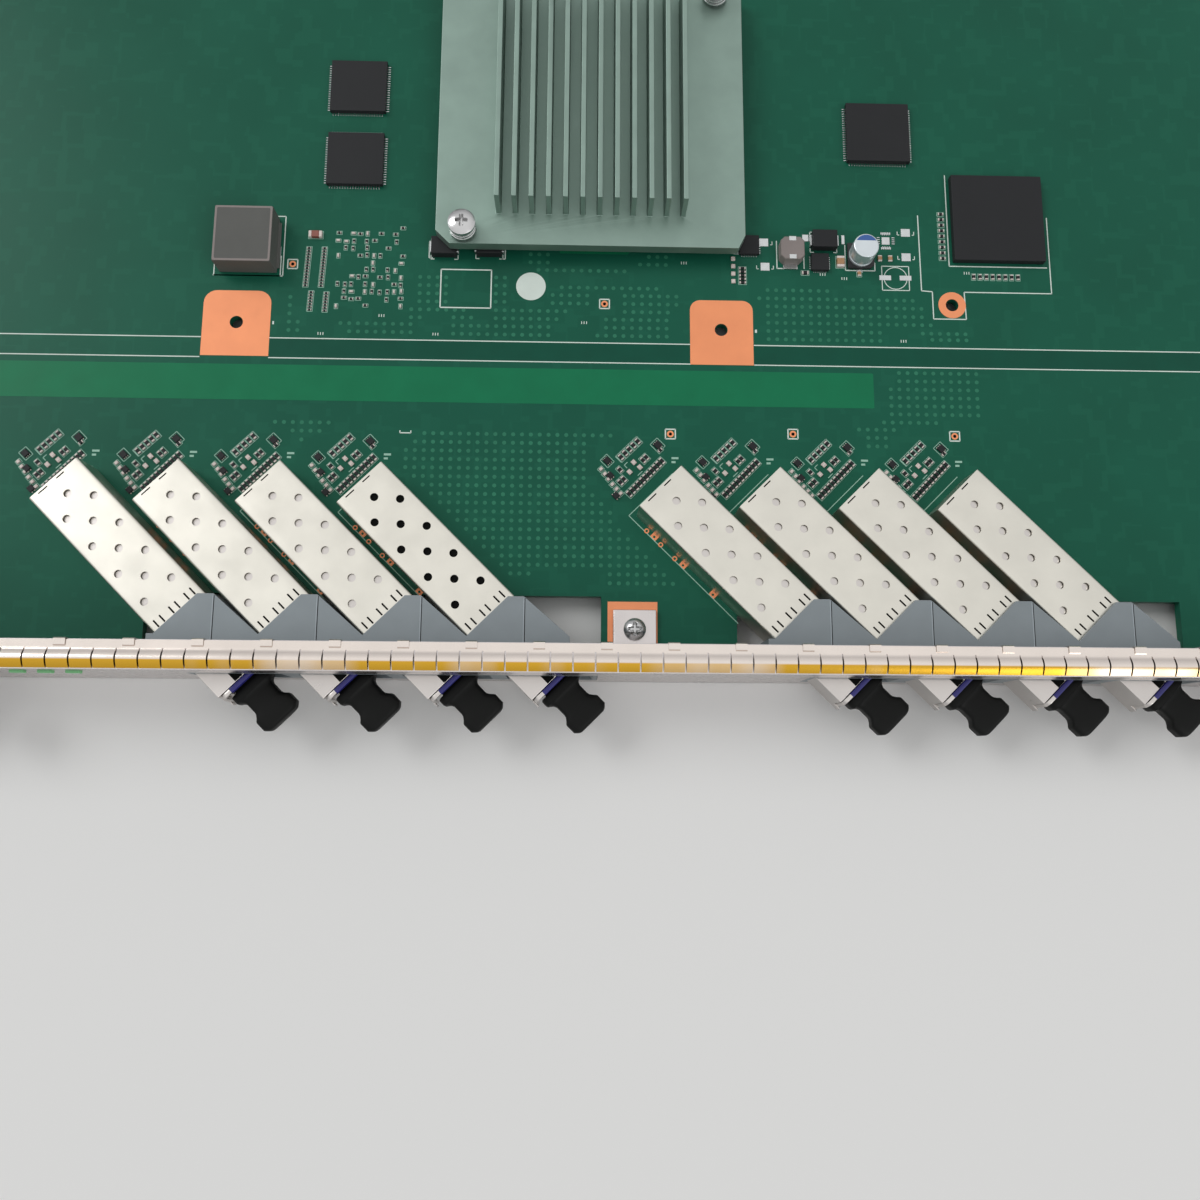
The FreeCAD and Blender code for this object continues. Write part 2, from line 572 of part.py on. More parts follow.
# ---------------------------------------------------------------------------------------------
# What joins board and panel
# ---------------------------------------------------------------------------------------------
def brackets():
    behind = "panel_sheet"
    pieces = []
    screws = []
    for number, x in enumerate(BRACKET_X, start=1):
        left = "%s - bracket_width / 2" % x
        foot = box("bracket_foot_%d" % number,
                   ("bracket_width", "bracket_reach - panel_sheet", "panel_sheet"),
                   (left, behind, BOARD_TOP))
        back = box("bracket_back_%d" % number, ("bracket_width", "panel_sheet", "bracket_rise"),
                   (left, behind, BOARD_TOP))
        hole = bar("bracket_hole_%d" % number, "bracket_hole", "4 * panel_sheet",
                   (x, "bracket_screw_y", BOARD_TOP + " - panel_sheet"))
        pieces.append(cut("bracket_%d" % number, join("bracket_bend_%d" % number, foot, back),
                          hole))
        head_low = BOARD_TOP + " + panel_sheet"
        shank = bar("screw_shank_%d" % number, "screw_shank", "board_thick + panel_sheet + 1",
                    (x, "bracket_screw_y", "board_low"))
        head = bar("screw_head_%d" % number, "screw_head", "screw_head_height",
                   (x, "bracket_screw_y", head_low))
        cross = [box("cross_%d_%d" % (number, k), (length, width, "screw_head_height"),
                     ("%s - %s / 2" % (x, length), "bracket_screw_y - %s / 2" % width,
                      head_low + " + screw_head_height / 2"))
                 for k, (length, width) in enumerate((("(screw_head / 2)", "screw_cross"),
                                                      ("screw_cross", "(screw_head / 2)")))]
        screws.append(cut("bracket_screw_%d" % number,
                          join("screw_blank_%d" % number, shank, head), *cross))
    sub_part(group("panel_brackets", *pieces))
    sub_part(group("bracket_screws", *screws))


def lever(name, side):
    """An ejector lever: eye round the pin, handle towards the middle, short nose outwards."""
    sign = "-" if side < 0 else ""
    pivot_x = sign + "lever_pivot_x"
    inward = "-1" if side > 0 else "1"
    body = new_body(name)

    def along(distance):
        return "%s + %s * (%s)" % (pivot_x, inward, distance)

    back = "-lever_pivot_y + lever_thick / 2"
    front = "-lever_pivot_y - lever_thick / 2"
    tip = "lever_length"
    outline = [(along("-lever_nose"), back), (along("-lever_nose"), front + " + 1"),
               (along("-lever_eye / 4"), "-lever_pivot_y - lever_eye / 2"),
               (along("lever_eye / 4"), "-lever_pivot_y - lever_eye / 2"),
               (along("lever_eye"), front), (along(tip + " - 5"), front),
               (along(tip), front + " - grip_depth"), (along(tip + " + 1.6"), front + " - 0.6"),
               (along(tip + " - 3"), back)]
    pad(body, name + "_handle", "XY", "lever_low", "lever_high - lever_low", outline)
    pocket(body, name + "_eye", "XY", "lever_low - 1", "lever_high - lever_low + 2",
           Circle(pivot_x, "-lever_pivot_y", "lever_pin / 2 + lever_running"))
    sub_part(body)


def lever_pivots():
    """A folded clevis on each end of the panel, with the pin that carries the lever."""
    pieces = []
    for side, x in (("left", "-lever_pivot_x"), ("right", "lever_pivot_x")):
        left = "%s - clevis_width / 2" % x
        low = "lever_low - clevis_gap - clevis_sheet"
        outer = box("clevis_outer_" + side,
                    ("clevis_width", "clevis_reach",
                     "lever_high - lever_low + 2 * clevis_gap + 2 * clevis_sheet"),
                    (left, "-clevis_reach", low))
        inner = box("clevis_inner_" + side,
                    ("clevis_width + 2", "clevis_reach", "lever_high - lever_low + 2 * clevis_gap"),
                    (left + " - 1", "-clevis_reach - clevis_sheet", "lever_low - clevis_gap"))
        pin = bar("lever_pin_" + side, "lever_pin",
                  "lever_high - lever_low + 2 * clevis_gap + 2 * clevis_sheet",
                  (x, "-lever_pivot_y", low))
        pieces.append(join("lever_pivot_" + side, cut("clevis_" + side, outer, inner), pin))
    sub_part(group("lever_pivots", *pieces))


BACKWARD = FreeCAD.Vector(0, 1, 0)


def captive_screw(name, x):
    """A sprung thumbscrew: head in front, collar behind the panel so that it stays on."""
    middle = "panel_height / 2"
    head = bar(name + "_head", "captive_head", "captive_head_length",
               (x, "-captive_stand - ferrule_length - captive_head_length", middle), BACKWARD)
    shank = rod(name + "_shank", "captive_shank",
                "captive_stand + ferrule_length + panel_sheet + captive_tail + 1",
                (x, "-captive_stand - ferrule_length - 1", middle), BACKWARD)
    collar = bar(name + "_collar", "captive_collar", "panel_sheet",
                 (x, "panel_sheet + captive_gap", middle), BACKWARD)
    slot = box(name + "_slot", ("captive_head + 2", "driver_slot + 1", "driver_slot_width"),
               ("%s - captive_head / 2 - 1" % x,
                "-captive_stand - ferrule_length - captive_head_length - 1",
                middle + " - driver_slot_width / 2"))
    sub_part(cut(name, join(name + "_blank", head, shank, collar), slot))


def ferrules():
    middle = "panel_height / 2"
    pieces = []
    for side, x in (("left", "-captive_x"), ("right", "captive_x")):
        tube = bar("ferrule_tube_" + side, "ferrule_outer", "ferrule_length",
                   (x, "-ferrule_length", middle), BACKWARD)
        bore = bar("ferrule_bore_" + side, "captive_shank + 3 * captive_gap",
                   "ferrule_length + 2", (x, "-ferrule_length - 1", middle), BACKWARD)
        pieces.append(cut("ferrule_" + side, tube, bore))
    sub_part(group("screw_ferrules", *pieces))


# ---------------------------------------------------------------------------------------------
# Heat sink and electronics
# ---------------------------------------------------------------------------------------------
def heat_sink():
    sink = new_body("heat_sink")
    rear = "sink_front + sink_depth"
    outline = [("sink_left", rear), ("sink_left", "sink_front + sink_corner"),
               ("sink_left + sink_corner", "sink_front"),
               ("sink_right - sink_corner / 2", "sink_front"),
               ("sink_right", "sink_front + sink_corner"), ("sink_right", rear)]
    pad(sink, "sink_plate", "XY", SINK_LOW, "sink_base", outline)
    side = "(screw_shank / 2 + screw_gap)"
    corner = "(%s * 0.414)" % side
    holes = [[("%s %s %s" % (x, sign_x, across), "%s %s %s" % (y, sign_y, along))
              for sign_x, across, sign_y, along in (
                  ("-", side, "-", corner), ("-", corner, "-", side), ("+", corner, "-", side),
                  ("+", side, "-", corner), ("+", side, "+", corner), ("+", corner, "+", side),
                  ("-", corner, "+", side), ("-", side, "+", corner))]
             for x, y in SINK_SCREWS]
    pocket(sink, "sink_holes", "XY", SINK_LOW + " - 1", "sink_base + 2", *holes)
    room = "(sink_right - sink_left - 4 * sink_screw_in)"
    fins = "floor(%s / fin_pitch + 1)" % room
    first = "%s - (%s - 1) * fin_pitch / 2" % (SINK_MIDDLE, fins)
    fin = pad(sink, "first_fin", "XY", SINK_LOW + " + sink_base - 0.1", "sink_fins + 0.1",
              rectangle("%s - fin_thick / 2" % first, "%s + fin_thick / 2" % first,
                        "sink_front + fin_front", rear + " - fin_front / 4"))
    pattern(sink, "fins", fin, "(%s - 1) * fin_pitch" % fins, fins)
    sub_part(sink)
    screws = []
    for number, (x, y) in enumerate(SINK_SCREWS, start=1):
        shank = bar("sink_shank_%d" % number, "screw_shank",
                    "board_thick + main_chip_height + sink_base + spring_length",
                    (x, y, "board_low"))
        coil = bar("sink_spring_%d" % number, "spring_coil", "spring_length",
                   (x, y, SINK_LOW + " + sink_base"))
        head = bar("sink_head_%d" % number, "sink_screw_head", "sink_screw_cap",
                   (x, y, SINK_LOW + " + sink_base + spring_length"))
        screws.append(join("sink_screw_%d" % number, shank, coil, head))
    sub_part(group("heat_sink_screws", *screws))
    chip = box("main_chip_case", ("main_chip", "main_chip", "main_chip_height"),
               (SINK_MIDDLE + " - main_chip / 2",
                "sink_front + sink_depth / 2 - main_chip / 2", BOARD_TOP))
    sub_part(group("main_chip", chip))


def square_chip(name):
    """A flat square chip body, placed and sized by the values that carry its name."""
    return box(name + "_case", (name + "_size", name + "_size", name + "_height"),
               ("%s_x - %s_size / 2" % (name, name), "%s_y - %s_size / 2" % (name, name),
                BOARD_TOP))


def moulded_diode(name):
    """A moulded body with a folded metal lead under each end."""
    x, y = name + "_x", name + "_y"
    case = box(name + "_case", ("diode_length", "diode_width", "diode_height"),
               (x + " - diode_length / 2", y + " - diode_width / 2", BOARD_TOP))
    lead = box(name + "_lead", ("diode_length + 2 * diode_lead", "diode_lead_width",
                                "diode_height / 2"),
               (x + " - diode_length / 2 - diode_lead", y + " - diode_lead_width / 2",
                BOARD_TOP))
    return join(name, case, lead)


def components():
    """The larger parts on the board that stand up from it."""
    sub_part(group("diodes", *[moulded_diode("diode_" + name)
                               for name in ("near", "far", "right")]))
    coil = box("coil_block", ("coil_length", "coil_width", "coil_height"),
               ("coil_x - coil_length / 2", "coil_y - coil_width / 2", BOARD_TOP))
    feet = box("coil_leads", ("coil_length + 2 * coil_lead", "coil_lead_width", "coil_lead"),
               ("coil_x - coil_length / 2 - coil_lead", "coil_y - coil_lead_width / 2",
                BOARD_TOP))
    sub_part(join("power_inductor", coil, feet))
    base = box("drum_base", ("drum_size", "drum_size", "drum_foot"),
               ("drum_x - drum_size / 2", "drum_y - drum_size / 2", BOARD_TOP))
    drum = bar("drum_core", "drum_size", "drum_height", ("drum_x", "drum_y", BOARD_TOP), sides=24)
    sub_part(join("drum_inductor", base, drum))
    foot = box("can_base", ("can_foot", "can_foot", "can_foot_height"),
               ("can_x - can_foot / 2", "can_y - can_foot / 2", BOARD_TOP))
    can = bar("can_tube", "can_size", "can_height", ("can_x", "can_y", BOARD_TOP), sides=24)
    sub_part(join("electrolytic_capacitor", foot, can))
    sub_part(group("interface_chip", square_chip("interface")))
    sub_part(group("board_chips", *[square_chip(name) for name in
                                    ("memory", "buffer", "logic", "driver", "gate")]))


# ---------------------------------------------------------------------------------------------
# Rear connectors
# ---------------------------------------------------------------------------------------------
def rear_connectors():
    front = "(%s - backplane_depth)" % REAR_REACH
    for side, sign in (("left", "-"), ("right", "")):
        block = box("backplane_block_" + side,
                    ("backplane_width", "backplane_depth", "backplane_height"),
                    ("%sbackplane_x - backplane_width / 2" % sign, front, BOARD_TOP))
        rows = [box("backplane_row_%s_%d" % (side, k),
                    ("backplane_width - 4 * row_slot", "row_depth + 1", "row_slot"),
                    ("%sbackplane_x - backplane_width / 2 + 2 * row_slot" % sign,
                     REAR_REACH + " - row_depth",
                     "%s + backplane_height / 2 + %s * row_pitch - row_slot / 2"
                     % (BOARD_TOP, k - 1.5)))
                for k in range(4)]
        sub_part(cut("backplane_connector_" + side, block, *rows))
    power = box("power_block", ("power_width", "backplane_depth", "backplane_height"),
                ("power_x - power_width / 2", front, BOARD_TOP))
    blades = [box("power_slot_%d" % k, ("blade_width", "blade_depth + 1", "blade_height"),
                  ("power_x + %s * blade_pitch - blade_width / 2" % (k - 1.5),
                   REAR_REACH + " - blade_depth",
                   BOARD_TOP + " + (backplane_height - blade_height) / 2")) for k in range(4)]
    sub_part(cut("power_connector", power, *blades))
    guides = []
    for side, sign in (("left", "-"), ("right", "")):
        block = box("guide_block_" + side, ("guide_size", "backplane_depth", "guide_size"),
                    ("%sguide_x - guide_size / 2" % sign, front, BOARD_TOP))
        bore = bar("guide_hole_" + side, "guide_bore", "backplane_depth",
                   ("%sguide_x" % sign, front + " + 3", BOARD_TOP + " + guide_size / 2"),
                   BACKWARD)
        guides.append(cut("guide_" + side, block, bore))
    sub_part(group("guide_sockets", *guides))


front_panel()
gasket()
status_lenses()
circuit_board()
cage()
host_connector()
module()
bail()
dust_plug()
port_bezel("port_bezel_left", PORT_X[:4])
port_bezel("port_bezel_right", PORT_X[4:])
brackets()
lever("ejector_lever_left", -1)
lever("ejector_lever_right", 1)
lever_pivots()
captive_screw("captive_screw_left", "-captive_x")
captive_screw("captive_screw_right", "captive_x")
ferrules()
heat_sink()
components()
rear_connectors()

document.recompute()

# ---------------------------------------------------------------------------------------------
# Check every object, then write one file for each sub-part
# ---------------------------------------------------------------------------------------------
for item in document.Objects:
    if "Invalid" in item.State or "Error" in item.State:
        raise RuntimeError("%s could not be computed: %s" % (item.Label, item.State))
for item in parts:
    if item.Shape.isNull() or not item.Shape.isValid():
        raise RuntimeError("%s has no valid shape" % item.Label)

os.makedirs("parts", exist_ok=True)
for item in parts:
    item.Shape.exportStep("parts/%s.step" % item.Label)
    bounds = item.Shape.BoundBox
    print("%-26s %2d solid(s) %9.1f mm3  x %7.2f %7.2f  y %7.2f %7.2f  z %6.2f %6.2f"
          % (item.Label, len(item.Shape.Solids), item.Shape.Volume, bounds.XMin, bounds.XMax,
             bounds.YMin, bounds.YMax, bounds.ZMin, bounds.ZMax))
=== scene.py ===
# %% [markdown]
# # A switch line card
#
# A line card is a large circuit board behind a narrow folded steel panel. Optical modules slide
# into eight stamped cages that stand on the board at 45 degrees, and a strip of spring fingers on
# the panel makes contact with the neighbouring card. The solids come from the CAD frame at their
# true size. This file gives them their finish, and it rebuilds in finer form the pieces that a
# viewer looks at first: cages, gasket, plugs, bails, screws and the small parts on the board.

# %% The frame from CAD
import math

import bmesh
import bpy
import numpy as np
from mathutils import Euler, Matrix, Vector
from mathutils.geometry import delaunay_2d_cdt


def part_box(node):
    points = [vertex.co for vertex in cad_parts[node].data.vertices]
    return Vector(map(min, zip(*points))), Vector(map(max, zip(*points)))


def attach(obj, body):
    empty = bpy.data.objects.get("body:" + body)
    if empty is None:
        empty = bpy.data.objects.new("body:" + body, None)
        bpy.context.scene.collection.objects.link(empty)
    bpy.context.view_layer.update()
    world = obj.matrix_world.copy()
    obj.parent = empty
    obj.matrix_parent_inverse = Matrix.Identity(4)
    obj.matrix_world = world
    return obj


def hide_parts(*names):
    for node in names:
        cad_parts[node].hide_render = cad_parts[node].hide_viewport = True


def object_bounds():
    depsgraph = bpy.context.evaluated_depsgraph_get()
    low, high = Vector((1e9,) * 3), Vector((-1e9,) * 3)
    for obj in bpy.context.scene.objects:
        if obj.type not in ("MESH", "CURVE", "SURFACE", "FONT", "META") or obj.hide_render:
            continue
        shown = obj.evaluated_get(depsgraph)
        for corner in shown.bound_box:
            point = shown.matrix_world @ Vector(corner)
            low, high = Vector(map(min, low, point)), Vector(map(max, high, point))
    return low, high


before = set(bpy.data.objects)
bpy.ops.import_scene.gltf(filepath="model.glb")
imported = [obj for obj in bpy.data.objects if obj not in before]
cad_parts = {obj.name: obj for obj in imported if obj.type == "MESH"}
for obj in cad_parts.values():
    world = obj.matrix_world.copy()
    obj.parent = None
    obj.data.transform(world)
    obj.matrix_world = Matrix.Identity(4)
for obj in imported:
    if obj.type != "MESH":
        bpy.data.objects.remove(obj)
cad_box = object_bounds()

# %% [markdown]
# ## Places and units
#
# Blender works in metres, but a board is easier to read in millimetres. Two small maps do all the
# placing. `on_board` takes millimetres from the card's middle, from the panel's front face and
# from the board's top. `at_port` takes millimetres along a module's own slanted axis, across it
# and above the board. Both start from boxes of CAD nodes, so the pieces follow the frame.

# %% Two maps from millimetres to the card
MM = 0.001
DIAGONAL = math.sqrt(0.5)
PORTS = range(1, 9)
CAGE_REACH, CAGE_SEAT = 43.0, 1.5        # how far a cage runs behind and before its port's origin
panel_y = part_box("front_panel")[0][1]
board_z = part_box("circuit_board")[1][2]


def on_board(points):
    """Millimetres (x, distance behind the panel's face, height over the board) to metres."""
    return np.asarray(points, float) * MM + (0.0, panel_y, board_z)


def card_box(node):
    """Both corners of a CAD node's box, in the millimetres that on_board takes."""
    return [np.array(corner) / MM - (0, panel_y / MM, board_z / MM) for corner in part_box(node)]


def port_origin(number):
    """The point where a module's axis crosses the seat of its bezel, from the cage's box."""
    low, high = (np.array(corner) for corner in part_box("cage_%d" % number))
    shift = (CAGE_REACH - CAGE_SEAT) / 2 * DIAGONAL * MM
    return (low + high)[:2] / 2 + (shift, -shift)


def at_port(points, number):
    """Millimetres (along the module, across it, over the board) to metres: the two axes lie at
    45 degrees, so x is (along + across) and y is (across - along), both over the root of 2."""
    along, across, height = np.moveaxis(np.asarray(points, float), -1, 0) * MM
    x, y = port_origin(number)
    return np.stack((x + (along + across) * DIAGONAL, y + (across - along) * DIAGONAL,
                     board_z + height), axis=-1)


print("ports at", [np.round(port_origin(number) / MM, 1).tolist() for number in PORTS])

# %% [markdown]
# ## From arrays to pieces
#
# A shape is a list of points and a list of faces, worked out with numpy. `piece` turns a shape
# into an object that rides on its CAD body and wears one of the finishes that are mixed further
# down. Edges sharper than 35 degrees stay crisp and all other faces are shaded smooth.

# %% Making a piece
SHARP = math.radians(35)


def dressed(name, mesh, finish, hides, body):
    """An object that wears a finish, rides on a body and may stand for CAD nodes."""
    mesh.materials.append(mixed[finish])
    mesh.shade_smooth()
    mesh.set_sharp_from_angle(angle=SHARP)
    made = bpy.data.objects.new(name, mesh)
    bpy.context.collection.objects.link(made)
    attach(made, body)
    if hides:
        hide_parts(*hides)
    return made


def piece(name, shape, finish, hides=(), body="card", place=on_board):
    """An object from a shape. The place function turns its points into metres; np.asarray
    leaves points as they are that already have their place."""
    mesh = bpy.data.meshes.new(name)
    mesh.from_pydata(place(shape[0]).tolist(), [], [list(map(int, face)) for face in shape[1]])
    dressed(name, mesh, finish, hides, body)


def port_piece(number, name, shape, finish, body=None, hides=None):
    """One port's copy of a shape. The names of body and hidden node get the port's number."""
    piece("%s_%d" % (name, number), shape, finish,
          ["%s_%d" % (hides, number)] if hides else (),
          "%s_%d" % (body, number) if body else "card", lambda points: at_port(points, number))


def together(*shapes):
    """Several shapes as one: each set of faces counts on from the points before it."""
    points, faces, count = [], [], 0
    for part_points, part_faces in shapes:
        points.append(np.asarray(part_points, float))
        faces += [[index + count for index in face] for face in part_faces]
        count += len(part_points)
    return np.concatenate(points), faces


def at_ports(shape):
    """One shape at all eight ports at once, in metres."""
    return together(*[(at_port(shape[0], number), shape[1]) for number in PORTS])


def quads(rows, columns, closed=False):
    """Faces of a grid of rows by columns points; when closed, the last column meets the first."""
    row, column = np.meshgrid(np.arange(rows - 1), np.arange(columns - (0 if closed else 1)),
                              indexing="ij")
    beside = (column + 1) % columns
    return np.stack((row * columns + column, row * columns + beside,
                     (row + 1) * columns + beside, (row + 1) * columns + column),
                    axis=-1).reshape(-1, 4).tolist()


def loft(stations):
    """Closed rings, one per station, joined by quads and closed by a flat face at each end."""
    stations = np.asarray(stations, float)
    rows, columns = stations.shape[:2]
    caps = [list(range(columns))[::-1], list(range((rows - 1) * columns, rows * columns))]
    return stations.reshape(-1, 3), quads(rows, columns, closed=True) + caps


def at_height(flat, height):
    """Flat points with one height added."""
    return np.column_stack((flat, np.full(len(flat), height)))


print("helpers ready: a 4 by 4 grid has", len(quads(4, 4)), "faces")

# %% [markdown]
# ## Sheet metal: punch flat, then fold
#
# A cage is stamped like every sheet-metal part: holes go into a flat blank, and the blank is
# folded afterwards. The code does the same. `punched` divides a flat outline along guide lines
# and leaves the holes out. `folded_sheet` sends every flat point through a folding formula twice,
# once for the outside and once a sheet's thickness further in, and closes all edges with walls.

# %% Blank, holes and thickness
def inside(loop, points):
    """True for points inside a closed loop: a ray to the right crosses it an odd number of
    times."""
    ahead = np.roll(loop, -1, axis=0)
    x, y = points[:, 0, None], points[:, 1, None]
    spans = (loop[:, 1] > y) != (ahead[:, 1] > y)
    rise = np.where(ahead[:, 1] == loop[:, 1], 1, ahead[:, 1] - loop[:, 1])
    slope = (ahead[:, 0] - loop[:, 0]) / rise
    return (spans & (x < loop[:, 0] + (y - loop[:, 1]) * slope)).sum(axis=1) % 2 == 1


def circle(x, y, radius, sides=20):
    """Points at equal angles on a circle."""
    angle = np.arange(sides) * 2 * math.pi / sides
    return np.stack((x + radius * np.cos(angle), y + radius * np.sin(angle)), axis=1)


def oblong(low_x, high_x, low_y, high_y, corner=0.0, steps=4):
    """A rectangle whose corners are quarter circles."""
    if not corner:
        return np.array([(low_x, low_y), (high_x, low_y), (high_x, high_y), (low_x, high_y)])
    quarter = np.linspace(0, math.pi / 2, steps + 1)
    middles = ((high_x - corner, high_y - corner), (low_x + corner, high_y - corner),
               (low_x + corner, low_y + corner), (high_x - corner, low_y + corner))
    return np.concatenate([
        np.stack((x + corner * np.cos(quarter + turn * math.pi / 2),
                  y + corner * np.sin(quarter + turn * math.pi / 2)), axis=1)
        for turn, (x, y) in enumerate(middles)])


def punched(outline, holes=(), stops=()):
    """Triangles that fill an outline but not its holes, with guide lines across at the stops."""
    low, high = outline.min(axis=0), outline.max(axis=0)
    points, edges = [], []
    for loop in (outline, *holes):
        first = len(points)
        points += loop.tolist()
        edges += [(first + k, first + (k + 1) % len(loop)) for k in range(len(loop))]
    for stop in stops:
        edges.append((len(points), len(points) + 1))
        points += ((low[0], stop), (high[0], stop))
    found, _, triangles, *_ = delaunay_2d_cdt([Vector(p) for p in points], edges, [], 0, 1e-5)
    found, triangles = np.array([tuple(p) for p in found]), np.array(triangles)
    centres = found[triangles].mean(axis=1)
    keep = inside(outline, centres)
    for hole in holes:
        keep &= ~inside(hole, centres)
    used, triangles = np.unique(triangles[keep], return_inverse=True)
    return found[used], triangles.reshape(-1, 3)


def folded_sheet(blank, fold):
    """Both skins of a folded blank and the walls along its edges. fold(points, side) gives the
    place of flat points on the outer skin for side 0 and on the inner skin for side 1."""
    points, triangles = blank
    count = len(points)
    edges = np.concatenate([triangles[:, pair] for pair in ((0, 1), (1, 2), (2, 0))])
    _, back, times = np.unique(np.sort(edges, axis=1), axis=0, return_inverse=True,
                               return_counts=True)
    start, end = edges[times[back.ravel()] == 1].T
    walls = np.stack((end, start, start + count, end + count), axis=1)
    faces = triangles.tolist() + (triangles[:, ::-1] + count).tolist() + walls.tolist()
    return np.concatenate((fold(points, 0), fold(points, 1))), faces


def plate(outline, low, high, holes=()):
    """A flat plate between two heights, with holes through it."""
    return folded_sheet(punched(np.asarray(outline), holes),
                        lambda points, side: at_height(points, low if side else high))


print("a plate with one hole has", len(plate(oblong(0, 4, 0, 4), 0, 1, [circle(2, 2, 1)])[1]),
      "faces")

# %% [markdown]
# ## Camera, floor and light
#
# The camera looks almost straight down on the panel's edge from 24 cm, leaning slightly back, so
# the far parts of the board shrink a little. The floor is pale and plain. A broad light from the
# left rear and a weaker one from the right front give the soft, nearly shadowless light of a
# workshop by a window, and the sky is white for mirrors, so bare metal shows white rather than
# black.

# %% Camera
CAMERA_PLACE = (-0.01381, -0.13299, 0.23836)
CAMERA_TURN = (0.162, -0.0242, 0.0097)    # tilt, roll and twist in radians
camera_data = bpy.data.cameras.new("camera")
camera_data.lens = 30.18
camera_data.sensor_width = 36.0
camera_data.clip_start = 0.01
camera = bpy.data.objects.new("camera", camera_data)
camera.rotation_mode = "ZYX"
camera.rotation_euler = Euler(CAMERA_TURN, "ZYX")
camera.location = CAMERA_PLACE
bpy.context.collection.objects.link(camera)
bpy.context.scene.camera = camera
bpy.context.scene.view_settings.view_transform = "Standard"
print("camera at", CAMERA_PLACE, "with a", camera_data.lens, "mm lens")


# %% Sky, lamps and floor
def feed(made, fed):
    """Fills a shader node's inputs: a socket is linked, and a constant is set directly."""
    for socket, source in fed.items():
        if isinstance(source, bpy.types.NodeSocket):
            made.id_data.links.new(source, made.inputs[socket])
        else:
            made.inputs[socket].default_value = source
    return made


def wired(tree, kind, fed):
    """A new shader node with its inputs filled."""
    return feed(tree.nodes.new("ShaderNode" + kind), fed)


def two_stops(tree, source, low, high):
    """A ramp between two colours, each given with its position; its colour socket."""
    ramp = wired(tree, "ValToRGB", {"Fac": source})
    for stop, (position, colour) in zip(ramp.color_ramp.elements, (low, high)):
        stop.position, stop.color = position, (*colour, 1)
    return ramp.outputs["Color"]


def sky(seen, strength):
    """A white sky for the eye and for mirrors, and a softer one that lights matt surfaces."""
    world = bpy.data.worlds.new("sky")
    bpy.context.scene.world = world
    world.use_nodes = True
    tree = world.node_tree
    tree.nodes.clear()
    rays = wired(tree, "LightPath", {}).outputs
    either = wired(tree, "Math", {0: rays["Is Camera Ray"], 1: rays["Is Transmission Ray"]})
    either.operation = "MAXIMUM"
    place = wired(tree, "TexCoord", {})
    height = wired(tree, "SeparateXYZ", {0: place.outputs["Generated"]})
    shade = two_stops(tree, height.outputs["Z"], (0.0, (0.42, 0.42, 0.44)), (0.9, (1, 1, 1)))
    lit, plain, mirror = [wired(tree, "Background", {"Strength": light})
                          for light in (strength, seen, 1.0)]
    feed(mirror, {"Color": shade})
    first = wired(tree, "MixShader", {"Fac": rays["Is Glossy Ray"], 1: lit.outputs[0],
                                      2: mirror.outputs[0]})
    second = wired(tree, "MixShader", {"Fac": either.outputs[0], 1: first.outputs[0],
                                       2: plain.outputs[0]})
    wired(tree, "OutputWorld", {"Surface": second.outputs[0]})


def sunlight(name, place, strength, spread):
    """Even light from the direction of a place, softened by an angle of spread in degrees."""
    data = bpy.data.lights.new(name, "SUN")
    data.energy, data.angle = strength, math.radians(spread)
    made = bpy.data.objects.new(name, data)
    made.rotation_euler = Vector(place).to_track_quat("Z", "Y").to_euler()
    bpy.context.collection.objects.link(made)


def floor(colour, half=8.0, gap=0.0002):
    """A wide flat square just under the lowest point of the card."""
    mesh = bpy.data.meshes.new("floor")
    mesh.from_pydata([(x * half, y * half, cad_box[0][2] - gap)
                      for x, y in ((-1, -1), (1, -1), (1, 1), (-1, 1))], [], [(0, 1, 2, 3)])
    finish = bpy.data.materials.new("pale_floor")
    finish.use_nodes = True
    feed(finish.node_tree.nodes["Principled BSDF"], {"Base Color": colour, "Roughness": 0.9})
    mesh.materials.append(finish)
    made = bpy.data.objects.new("floor", mesh)
    bpy.context.collection.objects.link(made)


sky(seen=1.0, strength=0.6)
sunlight("window_light", (-1.7, 1.0, 1.6), 1.0, 30)
sunlight("fill_light", (0.9, -0.9, 0.9), 0.5, 30)
floor((0.86, 0.86, 0.85, 1))
print("sky and two soft lights lit, floor laid under", round(cad_box[0][2], 4))

# %% [markdown]
# ## Finishes
#
# All finishes come from one recipe with different numbers. A slow noise shifts the colour a
# little and varies how polished the surface is, and a fine one gives it grain. Rolled sheet shows
# its grain as long streaks, so the fine noise can be stretched along X.

# %% One recipe for every finish
def linear(rgb):
    """A colour in 0 to 255 as the linear light that the shader expects: a straight line near
    black, and above it a power of 2.4."""
    share = np.array(rgb) / 255
    return np.where(share <= 0.04045, share / 12.92, ((share + 0.055) / 1.055) ** 2.4).tolist()


